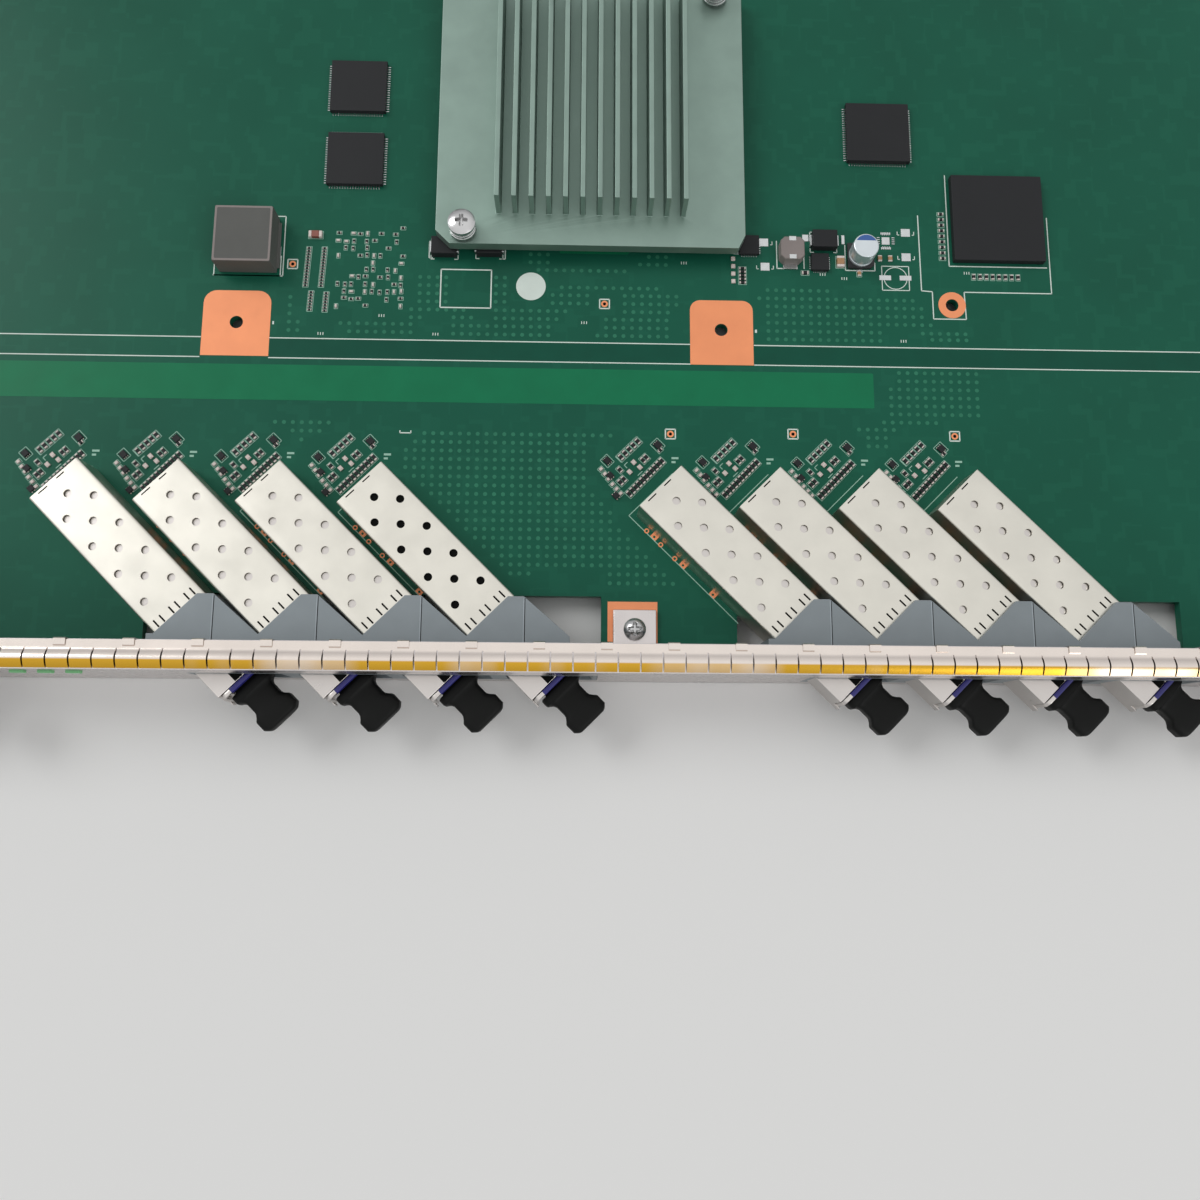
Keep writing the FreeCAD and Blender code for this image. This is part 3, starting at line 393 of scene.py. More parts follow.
def finish(name, rgb, rough=0.5, metal=0.0, vary=0.06, patch=150.0, grain=4000.0, bump=0.05,
           streak=1.0, polish=0.08, shine=0.5):
    """A material whose colour, polish and grain vary on Object coordinates. patch and grain are
    spots per metre; streak squeezes the grain across X; shine is the strength of reflection."""
    made = bpy.data.materials.new(name)
    made.use_nodes = True
    tree = made.node_tree
    place = wired(tree, "TexCoord", {}).outputs["Object"]
    turn = wired(tree, "Mapping", {"Scale": (1.0 / streak, 1.0, 1.0), "Vector": place})
    slow = wired(tree, "TexNoise", {"Scale": patch, "Detail": 4.0, "Vector": place}).outputs["Fac"]
    fine = wired(tree, "TexNoise", {"Scale": grain, "Detail": 2.0,
                                    "Vector": turn.outputs["Vector"]}).outputs["Fac"]
    dim, bright = ([min(part * gain, 1.0) for part in linear(rgb)]
                   for gain in (1 - vary, 1 + vary))
    colour = two_stops(tree, slow, (0.3, dim), (0.7, bright))
    polished = wired(tree, "MapRange", {"To Min": max(rough - polish, 0.02),
                                        "To Max": min(rough + polish, 1.0), "Value": slow})
    relief = wired(tree, "Bump", {"Strength": bump, "Distance": 0.0001, "Height": fine})
    feed(tree.nodes["Principled BSDF"], {
        "Metallic": metal, "Specular IOR Level": shine, "Base Color": colour,
        "Roughness": polished.outputs["Result"], "Normal": relief.outputs["Normal"]})
    return made


FINISHES = {                     # colour, roughness, how metallic, and what differs otherwise
    "tinned_steel": ((216, 213, 203), 0.34, 1.0, {"vary": 0.04, "streak": 6.0}),
    "panel_zinc": ((206, 200, 198), 0.28, 1.0, {"vary": 0.05, "streak": 12.0}),
    # the next finish is a painted highlight, for the lit edge beside the bezels' joints
    "die_cast": ((134, 142, 146), 0.45, 0.35, {"vary": 0.05, "bump": 0.12}),
    "cast_edge_highlight": ((170, 180, 186), 0.5, 0.0, {}),
    "nickel": ((205, 200, 196), 0.3, 1.0, {"vary": 0.04, "streak": 5.0}),
    "screw_steel": ((200, 200, 200), 0.25, 1.0, {}),
    "blue_latch": ((44, 42, 122), 0.35, 0.0, {"bump": 0.03}),
    "black_rubber": ((13, 14, 13), 0.5, 0.0, {"bump": 0.25, "vary": 0.12, "shine": 0.15}),
    "chip_black": ((38, 39, 41), 0.5, 0.0, {"bump": 0.3, "grain": 9000.0, "shine": 0.2}),
    # aluminium, with a green tint that is a painted reflection
    "sink_aluminium": ((138, 160, 150), 0.42, 0.7, {"streak": 10.0}),
    "ferrite_grey": ((96, 97, 94), 0.6, 0.0, {"bump": 0.35, "grain": 7000.0, "shine": 0.25}),
    "host_black": ((30, 30, 32), 0.5, 0.0, {"bump": 0.1}),
    "connector_grey": ((188, 186, 178), 0.5, 0.0, {"bump": 0.08}),
    "lever_black": ((44, 46, 50), 0.45, 0.0, {"bump": 0.2}),
    "copper_pad": ((252, 158, 108), 0.42, 0.2, {"vary": 0.05}),
    "white_ink": ((222, 234, 226), 0.7, 0.0, {"vary": 0.05, "bump": 0.1}),
    "thin_ink": ((158, 200, 182), 0.7, 0.0, {"vary": 0.05, "bump": 0.1}),
    "solder": ((205, 208, 208), 0.25, 0.9, {"patch": 900.0}),
    "gold_contact": ((214, 176, 92), 0.25, 1.0, {}),
    "ceramic_tan": ((176, 136, 98), 0.5, 0.0, {"vary": 0.1}),
    "pad_white": ((226, 214, 208), 0.4, 0.0, {"vary": 0.06, "patch": 1500.0}),
    "rust_body": ((140, 84, 72), 0.5, 0.0, {"vary": 0.1}),
    "can_white": ((214, 222, 226), 0.3, 0.6, {}),
    "blue_print": ((60, 96, 160), 0.5, 0.0, {}),
    "drum_grey": ((136, 127, 124), 0.55, 0.0, {"bump": 0.3}),
    # painted shade: the black seen in holes, slots, vents and the latch groove
    "painted_recess_shade": ((14, 15, 14), 0.9, 0.0, {"shine": 0.1}),
    "lens_green": ((120, 190, 130), 0.12, 0.0, {}),
    "mask_pale": ((24, 118, 80), 0.34, 0.0, {"vary": 0.05, "shine": 0.14}),
    "mask_dot": ((52, 122, 96), 0.36, 0.0, {"vary": 0.08, "shine": 0.14}),
    "mask_dark": ((18, 80, 63), 0.36, 0.0, {"vary": 0.06, "shine": 0.14})}
mixed = {name: finish(name, rgb, rough, metal, **others)
         for name, (rgb, rough, metal, others) in FINISHES.items()}
print(len(mixed), "finishes mixed")

# %% [markdown]
# ## Solder mask and gasket need a little more
#
# Solder mask is a green lacquer over copper. Where copper lies underneath, the green is lighter,
# and a fine cell pattern, squared off, tells it from bare laminate. The spring fingers are a
# beryllium copper sheet with a bright plating, which has worn to yellow in patches on their front
# slopes. Both are a second colour laid over a finish.

# %% Solder mask and worn plating
def laid_over(made, factor, rgb):
    """Lays a second colour over a finish where factor, a socket, nears 1."""
    tree = made.node_tree
    blend = wired(tree, "Mix", {})
    blend.data_type = "RGBA"
    feed(blend, {"B": (*linear(rgb), 1), "Factor": factor,
                 "A": tree.nodes["Color Ramp"].outputs["Color"]})
    feed(tree.nodes["Principled BSDF"], {"Base Color": blend.outputs["Result"]})
    return made


def solder_mask(name, rgb, pale, share=0.5, tracks=0.35):
    """Green lacquer, paler in the cells' outer parts."""
    made = finish(name, rgb, 0.34, vary=0.07, patch=40.0, shine=0.14)
    tree = made.node_tree
    place = tree.nodes["Texture Coordinate"].outputs["Object"]
    cells = wired(tree, "TexVoronoi", {"Scale": 260.0, "Vector": place})
    cells.distance = "CHEBYCHEV"
    step = wired(tree, "MapRange", {"From Min": share, "From Max": share + 0.06,
                                    "To Max": tracks, "Value": cells.outputs["Distance"]})
    return laid_over(made, step.outputs["Result"], pale)


def worn_plating(name, rgb, yellow, front_y, back_y):
    """Bright plating that turns yellow towards the front, in patches along the strip."""
    made = finish(name, rgb, 0.2, 1.0, vary=0.03)
    tree = made.node_tree
    place = tree.nodes["Texture Coordinate"].outputs["Object"]
    split = wired(tree, "SeparateXYZ", {0: place})
    front = wired(tree, "MapRange", {"From Min": back_y, "From Max": front_y,
                                     "Value": split.outputs["Y"]})
    stretch = wired(tree, "Mapping", {"Scale": (1.0, 0.0, 0.0), "Vector": place})
    along = wired(tree, "TexNoise", {"Scale": 22.0, "Detail": 3.0,
                                     "Vector": stretch.outputs["Vector"]})
    patchy = wired(tree, "MapRange", {"From Min": 0.36, "From Max": 0.5,
                                      "Value": along.outputs["Fac"]})
    worn = wired(tree, "Math", {0: front.outputs["Result"], 1: patchy.outputs["Result"]})
    worn.operation = "MULTIPLY"
    return laid_over(made, worn.outputs["Value"], yellow)


mixed["board_green"] = solder_mask("board_green", (24, 91, 71), (32, 102, 80))
mixed["finger_plating"] = worn_plating("finger_plating", (226, 216, 208), (206, 160, 52),
                                       panel_y + 2.0 * MM, panel_y + 2.3 * MM)
print("solder mask and finger plating make", len(mixed), "finishes")

# %% [markdown]
# ## Folded cages
#
# The cage is a cover of 0.35 mm steel over each module. Its top has twelve round vents in three
# rows and six short slots at the mouth, which free small springs that grip the bezel. The cover
# is one blank, punched flat and folded down both long edges, and a separate plate stands for the
# flap folded down behind.
# Round holes need many sides, so they are worth their own mesh, while the CAD cage keeps eight.

# %% Folding formula
CAGE_WIDTH, CAGE_HEIGHT, CAGE_SHEET, CAGE_FOLD = 14.0, 9.8, 0.35, 0.55
VENT_RADIUS, VENT_ROW, VENT_STEP, VENT_FIRST = 0.95, 3.93, 8.82, 7.03
SLOT_START, SLOT_LENGTH, SLOT_HALF = 0.4, 2.45, 0.2      # both ends behind the mouth, half width
SLOT_MIDDLES = (-5.25, -3.55, -0.85, 0.85, 3.55, 5.25)
REAR_SLITS = ((-2.7, -0.5), (2.1, 4.7))          # across, at the cage's rear edge
fold_arc = CAGE_FOLD * math.pi / 2
cage_rise = CAGE_HEIGHT - CAGE_FOLD
cage_flat = CAGE_WIDTH - 2 * CAGE_FOLD
blank_width = 2 * (cage_rise + fold_arc) + cage_flat


def fold_cage(points, side):
    """The blank's width goes up the left wall, round the first fold, over the flat top, round
    the second fold and down the right wall. The turn grows by a right angle along each fold, and
    the skin lies a sheet's thickness inwards along the turned normal for the inner side."""
    along, over = points[:, 0], points[:, 1]
    first = np.clip((over - cage_rise) / fold_arc, 0, 1) * math.pi / 2
    second = np.clip((over - cage_rise - fold_arc - cage_flat) / fold_arc, 0, 1) * math.pi / 2
    flat = np.clip(over - cage_rise - fold_arc, 0, cage_flat)
    down = np.clip(over - cage_rise - 2 * fold_arc - cage_flat, 0, None)
    across = -CAGE_WIDTH / 2 + CAGE_FOLD * (1 - np.cos(first)) + flat + CAGE_FOLD * np.sin(second)
    height = (np.minimum(over, cage_rise) + CAGE_FOLD * np.sin(first)
              - CAGE_FOLD * (1 - np.cos(second)) - down)
    turn = first + second
    inwards = side * CAGE_SHEET
    return np.column_stack((along, across + inwards * np.cos(turn),
                            height - inwards * np.sin(turn)))


print("a blank", CAGE_REACH + CAGE_SEAT, "mm long and", round(blank_width, 1), "mm wide")

# %% [markdown]
# The guide lines divide both folds into short facets. A flap closes the cage behind, a tray
# closes it below, and a dark strip of painted shade darkens the slots at the mouth, where the
# small springs lie.

# %% Punch, fold and close the cage
def cage_blank():
    """The blank with its vents, slots and slits; guide lines divide both folds into four."""
    middle = blank_width / 2
    vents = [circle(-VENT_FIRST - VENT_STEP * (step + (0 if row else 0.5)),
                    middle + row * VENT_ROW, VENT_RADIUS)
             for row in (-1, 0, 1) for step in range(4)]
    slots = [oblong(-SLOT_LENGTH, -SLOT_START, middle + place - SLOT_HALF,
                    middle + place + SLOT_HALF, 0.12, 2) for place in SLOT_MIDDLES]
    slots += [oblong(-CAGE_REACH + 0.5, -CAGE_REACH + 0.8, middle - high, middle - low, 0.1, 2)
              for low, high in REAR_SLITS]
    folds = np.linspace(0, fold_arc, 5)
    stops = np.concatenate((cage_rise + folds, cage_rise + fold_arc + cage_flat + folds))
    return punched(oblong(-CAGE_REACH, CAGE_SEAT, 0, blank_width), vents + slots, stops)


def block(low, high, corner=0.0):
    """A box between two corners; its top edges are cut back by the corner size."""
    (x0, y0, z0), (x1, y1, z1) = low, high
    rings = [at_height(oblong(x0, x1, y0, y1), height) for height in (z0, z1 - corner)]
    if corner:
        rings.append(at_height(oblong(x0 + corner, x1 - corner, y0 + corner, y1 - corner), z1))
    return loft(rings)


inner_half = CAGE_WIDTH / 2 - CAGE_SHEET
rear_flap = block((-CAGE_REACH, -inner_half, 0), (-CAGE_REACH + CAGE_SHEET, inner_half,
                                                  CAGE_HEIGHT - CAGE_SHEET))
tray = block((-CAGE_REACH + 8, -inner_half, 0), (CAGE_SEAT, inner_half, CAGE_SHEET))
cage = together(folded_sheet(cage_blank(), fold_cage), rear_flap, tray)
for number in PORTS:
    port_piece(number, "folded_cage", cage, "tinned_steel", hides="cage")
# Both dark sheets under the roof are painted shade, in the mouth's slots and in one cage's vents.
SHEET_UNDER = (9.22, 9.32)                       # heights of dark sheets just under the roof
# The dark strip under the mouth's slots is painted shade, where the small springs lie.
strip = block((-SLOT_LENGTH - 0.2, -6.1, SHEET_UNDER[0]), (-0.1, 6.1, SHEET_UNDER[1]))
piece("mouth_slot_shade", at_ports(strip), "painted_recess_shade", place=np.asarray)
# The real card's fourth cage is empty, so its vents are black with shade. The CAD has a module in
# every cage, and a thin dark sheet under this roof paints that shade into the vents.
shade = block((-39.0, -6.0, SHEET_UNDER[0]), (-SLOT_LENGTH - 0.4, 6.0, SHEET_UNDER[1]))
piece("vent_shade", shade, "painted_recess_shade", place=lambda points: at_port(points, 4))
print("eight cages of", len(cage[1]), "faces each")

# %% [markdown]
# ## The finger gasket
#
# The strip along the panel's upper flange is cut into eighty fingers of one arched profile. The
# arch is a profile carried along X: flat at the back, then a hump whose height falls with the
# 1.6th power of the distance from its crest. The slits between fingers are columns of the grid
# that are simply left out.

# %% Gasket profile, slits and clips
GASKET_BACK, GASKET_TIPS = 6.3, 0.25             # back edge and fingertips, behind the face
FINGER_PITCH, FINGER_SLIT, FINGER_ROOT, FINGER_CREST = 4.85, 0.35, 4.3, 2.4
GASKET_SHEET, GASKET_GAP, GASKET_ROWS = 0.25, 0.02, 18
gasket_low, gasket_high = card_box("finger_gasket")
gasket_half = (gasket_high[0] - gasket_low[0]) / 2
flange_top = card_box("front_panel")[1][2]
crest_rise = gasket_high[2] - flange_top - GASKET_SHEET - GASKET_GAP


def arch(points, side):
    """The strip lies over the flange by the crest's rise times (1 - share^1.6), where share is
    the distance from the crest over the whole way down on that side. The outer skin lies a
    sheet's thickness higher."""
    back = points[:, 1]
    reach = np.where(back > FINGER_CREST, FINGER_ROOT - FINGER_CREST, FINGER_CREST - GASKET_TIPS)
    share = np.clip(np.abs(back - FINGER_CREST) / reach, 0, 1)
    return np.column_stack((points, flange_top + GASKET_GAP + crest_rise * (1 - share ** 1.6)
                            + GASKET_SHEET * (1 - side)))


def gasket():
    """Grid of columns along the strip and rows across it; both skins and all their walls."""
    starts = np.arange(-gasket_half, gasket_half - FINGER_PITCH / 2, FINGER_PITCH)
    columns = np.stack((starts + FINGER_SLIT / 2, starts + FINGER_PITCH - FINGER_SLIT / 2), 1)
    columns = np.minimum(columns, gasket_half).ravel()
    rows = np.linspace(GASKET_BACK, GASKET_TIPS, GASKET_ROWS)
    x, back = np.meshgrid(columns, rows)
    cells = np.array(quads(GASKET_ROWS, len(columns)))
    row, column = np.divmod(cells[:, 0], len(columns))
    cells = cells[(column % 2 == 0) | (rows[row + 1] > FINGER_ROOT)]
    triangles = np.concatenate((cells[:, (0, 2, 1)], cells[:, (0, 3, 2)]))
    return folded_sheet((np.column_stack((x.ravel(), back.ravel())), triangles), arch)


def clip(x, width=2.5):
    """A lug bent from the strip that hooks over the flange's rear edge: a path of five points,
    given the sheet's thickness, carried across its width."""
    top = flange_top + GASKET_SHEET + GASKET_GAP
    outer = np.array([(4.9, top), (5.2, top + 0.3), (6.5, top + 0.3), (6.74, top + 0.05),
                      (6.74, flange_top - 1.8)])
    inner = outer - [(0, 0.2), (0, 0.2), (0.05, 0.2), (0.2, 0.1), (0.2, 0)]
    ring = np.concatenate((outer, inner[::-1]))
    return loft([np.column_stack((np.full(len(ring), side), ring))
                 for side in (x + width / 2, x - width / 2)])


clip_places = np.arange(-gasket_half + 2.5 * FINGER_PITCH, gasket_half - 4, 3 * FINGER_PITCH)
piece("sprung_gasket", together(gasket(), *[clip(x) for x in clip_places]), "finger_plating",
      ["finger_gasket"])
print("gasket with", len(clip_places), "clips")

# %% [markdown]
# ## Dust plugs
#
# A moulded rubber plug closes each module's socket. It is a row of rounded rectangles along the
# module's axis: a slim shank, a wide flange, a waist for two fingers and a flared end. Each ring
# is a superellipse, whose power sets how square it is.

# %% Plug stations
def superellipse(half_width, half_height, power, sides=40):
    """Points whose width and height shares, each to the power, add up to one."""
    angle = np.arange(sides) * 2 * math.pi / sides
    reach = (np.abs(np.cos(angle)) ** power + np.abs(np.sin(angle)) ** power) ** (-1 / power)
    return np.column_stack((half_width * reach * np.cos(angle),
                            half_height * reach * np.sin(angle)))


SQUARENESS = 5.0                                 # the superellipse's power
MODULE_MIDDLE = 4.9                              # the module's axis over the board
PLUG_STATIONS = (                                # along, half width, half height
    (9.8, 3.4, 2.1), (10.2, 3.65, 2.35), (21.6, 3.65, 2.35), (21.75, 3.8, 2.4),
    (21.8, 4.9, 2.5), (22.0, 5.12, 2.6), (23.3, 5.12, 2.6), (23.75, 4.95, 2.55),
    (24.0, 4.55, 2.3), (24.5, 3.95, 2.12), (25.2, 3.62, 2.08), (27.6, 3.6, 2.08),
    (28.2, 3.75, 2.08), (28.9, 4.25, 2.1), (29.4, 4.75, 2.1), (29.7, 4.88, 2.1),
    (32.0, 4.85, 2.1), (32.5, 4.36, 2.0), (32.9, 3.9, 1.7), (33.1, 3.4, 1.3))


def plug():
    """The stations' rings, each standing across the module's axis, lofted to one body."""
    rings = []
    for along, half_width, half_height in PLUG_STATIONS:
        ring = superellipse(half_width, half_height, SQUARENESS) + (0, MODULE_MIDDLE)
        rings.append(np.column_stack((np.full(len(ring), along), ring)))
    return loft(rings)


for number in PORTS:
    port_piece(number, "rubber_plug", plug(), "black_rubber", "dust_plug",
               "dust_plug")
print("eight plugs of", len(plug()[1]), "faces each")

# %% [markdown]
# ## Bails
#
# The bail is a wire of flat section bent to a U: it stands in front of the module, and pulling it
# down frees the latch. A coloured sleeve covers its cross-bar. The wire is a rounded rectangle
# carried along the U, with its frame turned to the path at every point.

# %% Wire along a U and its sleeve
BAIL_ALONG, BAIL_HALF = 21.0, 5.9                # the bail's plane and half its width
BAIL_FOOT, BAIL_TOP, BAIL_CORNER = 1.5, 8.7, 1.1
quarter = np.linspace(0, math.pi / 2, 7)


def swept(path, half_wide, half_thick, sides=16):
    """A flat-sided wire along a path of (across, height) points. At each point the section's
    first axis is the path's normal in that plane and its second the module's axis."""
    path = np.asarray(path, float)
    heading = np.gradient(path, axis=0)
    heading /= np.linalg.norm(heading, axis=1)[:, None]
    ring = superellipse(half_wide, half_thick, SQUARENESS, sides)
    across = path[:, None, 0] - heading[:, None, 1] * ring[None, :, 0]
    height = path[:, None, 1] + heading[:, None, 0] * ring[None, :, 0]
    along = np.broadcast_to(BAIL_ALONG + ring[:, 1], across.shape)
    return loft(np.stack((along, across, height), axis=-1))


left = [(-BAIL_HALF, BAIL_FOOT)] + list(zip(-BAIL_HALF + BAIL_CORNER * (1 - np.cos(quarter)),
                                            BAIL_TOP - BAIL_CORNER * (1 - np.sin(quarter))))
wire = swept(left + [(-across, height) for across, height in reversed(left)], 0.42, 0.5)
sleeve = swept([(across, BAIL_TOP - 0.1) for across in np.linspace(-3.6, 3.5, 9)], 0.72, 0.58)
for number in PORTS:
    port_piece(number, "bail_wire", wire, "nickel", "bail", "bail")
    port_piece(number, "bail_sleeve", sleeve, "blue_latch", "bail")
print("a bail has", len(wire[1]), "faces and its sleeve", len(sleeve[1]))

# %% [markdown]
# ## Softened edges on CAD pieces
#
# CAD edges are perfectly sharp, and real ones never are: a folded panel shows a bright line of
# light along each bend. `soften` copies a CAD node's mesh, merges its loose triangles, joins the
# flat ones into larger faces and rounds its edges with a Bevel modifier.

# %% Copies with rounded edges
FLAT, ROUNDED_FROM = math.radians(1), math.radians(30)


def soften(name, solid, radius, finish, slot, body="card"):
    """A copy of a CAD node with rounded edges, which stands for the node."""
    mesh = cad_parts[solid].data.copy()
    mesh.name = name
    work = bmesh.new()
    work.from_mesh(mesh)
    bmesh.ops.remove_doubles(work, verts=work.verts, dist=1e-6)
    bmesh.ops.dissolve_limit(work, angle_limit=FLAT, verts=work.verts, edges=work.edges)
    work.to_mesh(mesh)
    work.free()
    mesh.materials.clear()
    bevel = dressed(name, mesh, finish, [solid], body).modifiers.new("rounding", "BEVEL")
    bevel.width = radius * MM
    bevel.segments = 2
    bevel.limit_method = "ANGLE"
    bevel.angle_limit = ROUNDED_FROM
    bevel.harden_normals = True


SOFT = (                                         # new name, CAD node, radius, finish, slot
    ("rounded_panel", "front_panel", 0.4, "panel_zinc", "panel_metal"),
    ("rounded_bezel_left", "port_bezel_left", 0.2, "die_cast", "bezel_plastic"),
    ("rounded_bezel_right", "port_bezel_right", 0.2, "die_cast", "bezel_plastic"),
    ("folded_brackets", "panel_brackets", 0.25, "panel_zinc", "bracket_metal"),
    ("extruded_sink", "heat_sink", 0.15, "sink_aluminium", "sink_metal"),
    ("moulded_diodes", "diodes", 0.2, "chip_black", "diode_plastic"),
    ("pressed_inductor", "power_inductor", 0.25, "ferrite_grey", "ferrite"),
    ("moulded_interface", "interface_chip", 0.15, "chip_black", "chip_plastic"),
    ("moulded_chips", "board_chips", 0.1, "chip_black", "chip_plastic"),
    ("moulded_backplane_left", "backplane_connector_left", 0.3, "connector_grey",
     "connector_plastic"),
    ("moulded_backplane_right", "backplane_connector_right", 0.3, "connector_grey",
     "connector_plastic"),
    ("moulded_power", "power_connector", 0.3, "host_black", "connector_plastic"),
    ("turned_ferrules", "screw_ferrules", 0.15, "screw_steel", "screw_metal"),
    ("turned_pivots", "lever_pivots", 0.1, "screw_steel", "bracket_metal"),
    ("cast_guides", "guide_sockets", 0.25, "panel_zinc", "guide_metal"),
    ("rounded_lenses", "status_lenses", 0.2, "lens_green", "lens"))
for row in SOFT:
    soften(*row)
for side in ("left", "right"):
    soften("moulded_lever_" + side, "ejector_lever_" + side, 0.5, "lever_black",
           "lever_plastic", "ejector_lever_" + side)
    soften("turned_screw_" + side, "captive_screw_" + side, 0.15, "screw_steel",
           "screw_metal", "captive_screw_" + side)
for number in PORTS:
    soften("cased_module_%d" % number, "module_%d" % number, 0.12, "nickel", "module_metal",
           "module_%d" % number)
print("softened", len(SOFT) + 4 + len(PORTS), "pieces")

# %% [markdown]
# ## Details of modules and bezels
#
# A module's head has a groove beside the latch, and a thin dark plate paints its shade. Each
# die-cast bezel has a joint line per port: a pale strip of painted highlight along its edge,
# beside the dark joint. Three CAD pieces keep their own mesh and only get a finish.

# %% Painted groove shade, joint lines and CAD pieces that stay
MODULE_TOP, BEZEL_TOP = 9.15, 10.7
# A thin dark plate over the groove beside the latch is painted shade.
groove_shade_plate = block((11.5, -1.45, MODULE_TOP), (20.2, 0.65, MODULE_TOP + 0.04))
for number in PORTS:
    port_piece(number, "latch_groove_shade", groove_shade_plate, "painted_recess_shade", "module")
joints = [port_origin(number)[0] / MM + 7.6 for number in PORTS]
# The pale strips are a painted highlight on the joints' edges; the dark strips are the joints.
for tone, used, start, end in (("pale", "cast_edge_highlight", 0, 0.22), ("dark", "chip_black", 0.22, 0.42)):
    lines = [block((x + start, 3.0, BEZEL_TOP), (x + end, 17.3, BEZEL_TOP + 0.03))
             for x in joints]
    piece("joint_lines_" + tone, together(*lines), used)
for solid, used in (("circuit_board", "board_green"), ("host_connectors", "host_black"),
                    ("main_chip", "chip_black")):
    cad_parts[solid].data.materials.clear()
    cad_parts[solid].data.materials.append(mixed[used])
print("grooves on", len(PORTS), "modules and", len(joints), "joint lines")

# %% [markdown]
# ## Marks and pads on the board
#
# Everything printed or etched on a board is a thin layer: white ink, bare copper and the lighter
# green where copper lies under the mask. Each layer gets a true height of a few hundredths of a
# millimetre, so light catches its edges, and each kind is one mesh for the whole board.

# %% Strokes, frames and dots
INK, MASK, PAD = 0.05, 0.03, 0.06                # heights of the layers over the board


def stroke(x0, y0, x1, y1, width):
    """A flat bar between two points: its corners lie half a width to each side of the line."""
    start, end = np.array((x0, y0), float), np.array((x1, y1), float)
    side = np.array((start[1] - end[1], end[0] - start[0])) / np.linalg.norm(end - start)
    corners = np.array((start - side * width / 2, end - side * width / 2,
                        end + side * width / 2, start + side * width / 2))
    return loft((at_height(corners, 0), at_height(corners, INK)))


def strokes(path, width, closed=False):
    """Strokes from point to point along a path."""
    path = list(path) + ([path[0]] if closed else [])
    return together(*[stroke(*a, *b, width) for a, b in zip(path, path[1:])])


def frame_of(x, y, half_x, half_y, width):
    """Four strokes round a rectangle."""
    return strokes(oblong(x - half_x, x + half_x, y - half_y, y + half_y), width, closed=True)


def scattered(shape, places):
    """Copies of one small shape at many places: every place is added to every point at once."""
    points, faces = shape
    moved = (np.asarray(places, float)[:, None, :] + points[None, :, :]).reshape(-1, 3)
    shifts = np.arange(len(places)) * len(points)
    return moved, [[index + shift for index in face] for shift in shifts for face in faces]


def disc(radius, height, sides=10):
    """A low round plate with closed sides and top."""
    return loft([at_height(circle(0, 0, radius, sides), level) for level in (0, height)])


def lattice(x, y, columns, rows, step_x, step_y):
    """Places in rows and columns, counted from the first one."""
    column, row = np.meshgrid(np.arange(columns), np.arange(rows))
    return np.column_stack((x + column.ravel() * step_x, y + row.ravel() * step_y))


print("one dot has", len(disc(1, 1)[1]), "faces")

# %% [markdown]
# ## Copper dots under the mask
#
# Board makers fill empty areas with a lattice of small copper dots, so that etching and plating
# are even. They show through the mask as paler spots, 2.13 mm apart. Blocks of the lattice are
# listed by their first dot and their number of columns and rows; the large field between the
# two groups of cages is a lattice cut to a polygon.

# %% Lattice blocks and the field between the cages
DOT_PITCH, DOT_RADIUS = 2.13, 0.52
DOT_BLOCKS = (                                   # first x, first y, columns, rows
    (-84.4, 84.7, 2, 2), (-84.4, 89.0, 1, 3), (-71.9, 86.7, 9, 1), (-69.7, 84.6, 8, 1),
    (-52.9, 92.7, 4, 4), (-54.8, 90.6, 7, 1), (-54.8, 88.5, 2, 1), (-44.4, 84.4, 3, 3),
    (-38.2, 84.4, 9, 2), (-34.1, 88.6, 8, 1), (-34.1, 90.7, 9, 1), (-34.2, 92.9, 2, 4),
    (-20.2, 92.8, 5, 2), (-18.0, 97.0, 12, 1), (-23.8, 101.5, 11, 1), (-25.8, 103.5, 3, 2),
    (1.4, 103.4, 4, 1), (3.6, 105.5, 3, 1), (-2.4, 92.9, 7, 2), (-2.4, 90.8, 6, 1),
    (-7.0, 86.6, 8, 2), (-9.1, 84.5, 9, 1), (33.1, 97.2, 8, 1), (31.0, 95.0, 19, 1),
    (33.1, 92.9, 19, 1), (33.1, 90.7, 19, 1), (33.1, 88.6, 20, 1), (33.1, 84.3, 14, 2),
    (71.5, 86.4, 6, 1), (73.8, 84.8, 5, 1), (65.1, 73.9, 10, 2), (62.9, 65.4, 11, 4),
    (60.9, 63.3, 7, 1), (54.7, 61.4, 5, 1), (56.9, 57.2, 3, 2), (-86.3, 61.3, 7, 1),
    (-82.0, 59.2, 4, 1), (-79.8, 57.0, 1, 1))
FIELD = np.array(((-51.5, 60.0), (-5.0, 60.0), (-5.0, 57.8), (-11.5, 57.0), (-11.5, 47.0),
                  (-5.5, 40.5), (-3.0, 35.5), (12.0, 21.0), (-7.5, 21.0), (-7.5, 26.5),
                  (-29.3, 24.5), (-56.0, 51.0), (-56.0, 55.5)))
field = lattice(-54.8, 59.0, 40, 24, DOT_PITCH, -DOT_PITCH)
dots = np.concatenate([lattice(*place, DOT_PITCH, DOT_PITCH) for place in DOT_BLOCKS]
                      + [field[inside(FIELD, field)]])
piece("copper_dots", scattered(disc(DOT_RADIUS, MASK, 8), at_height(dots, 0)), "mask_dot")
print(len(dots), "copper dots")

# %% [markdown]
# ## Pale and dark bands, bare copper and white lines
#
# A broad copper band without tracks runs along the board behind the cages, and a dark lane
# between two white lines keeps parts apart. The stiffener's screws seat on bare copper pads, the
# round one is plated through, and small square targets are probed in testing.

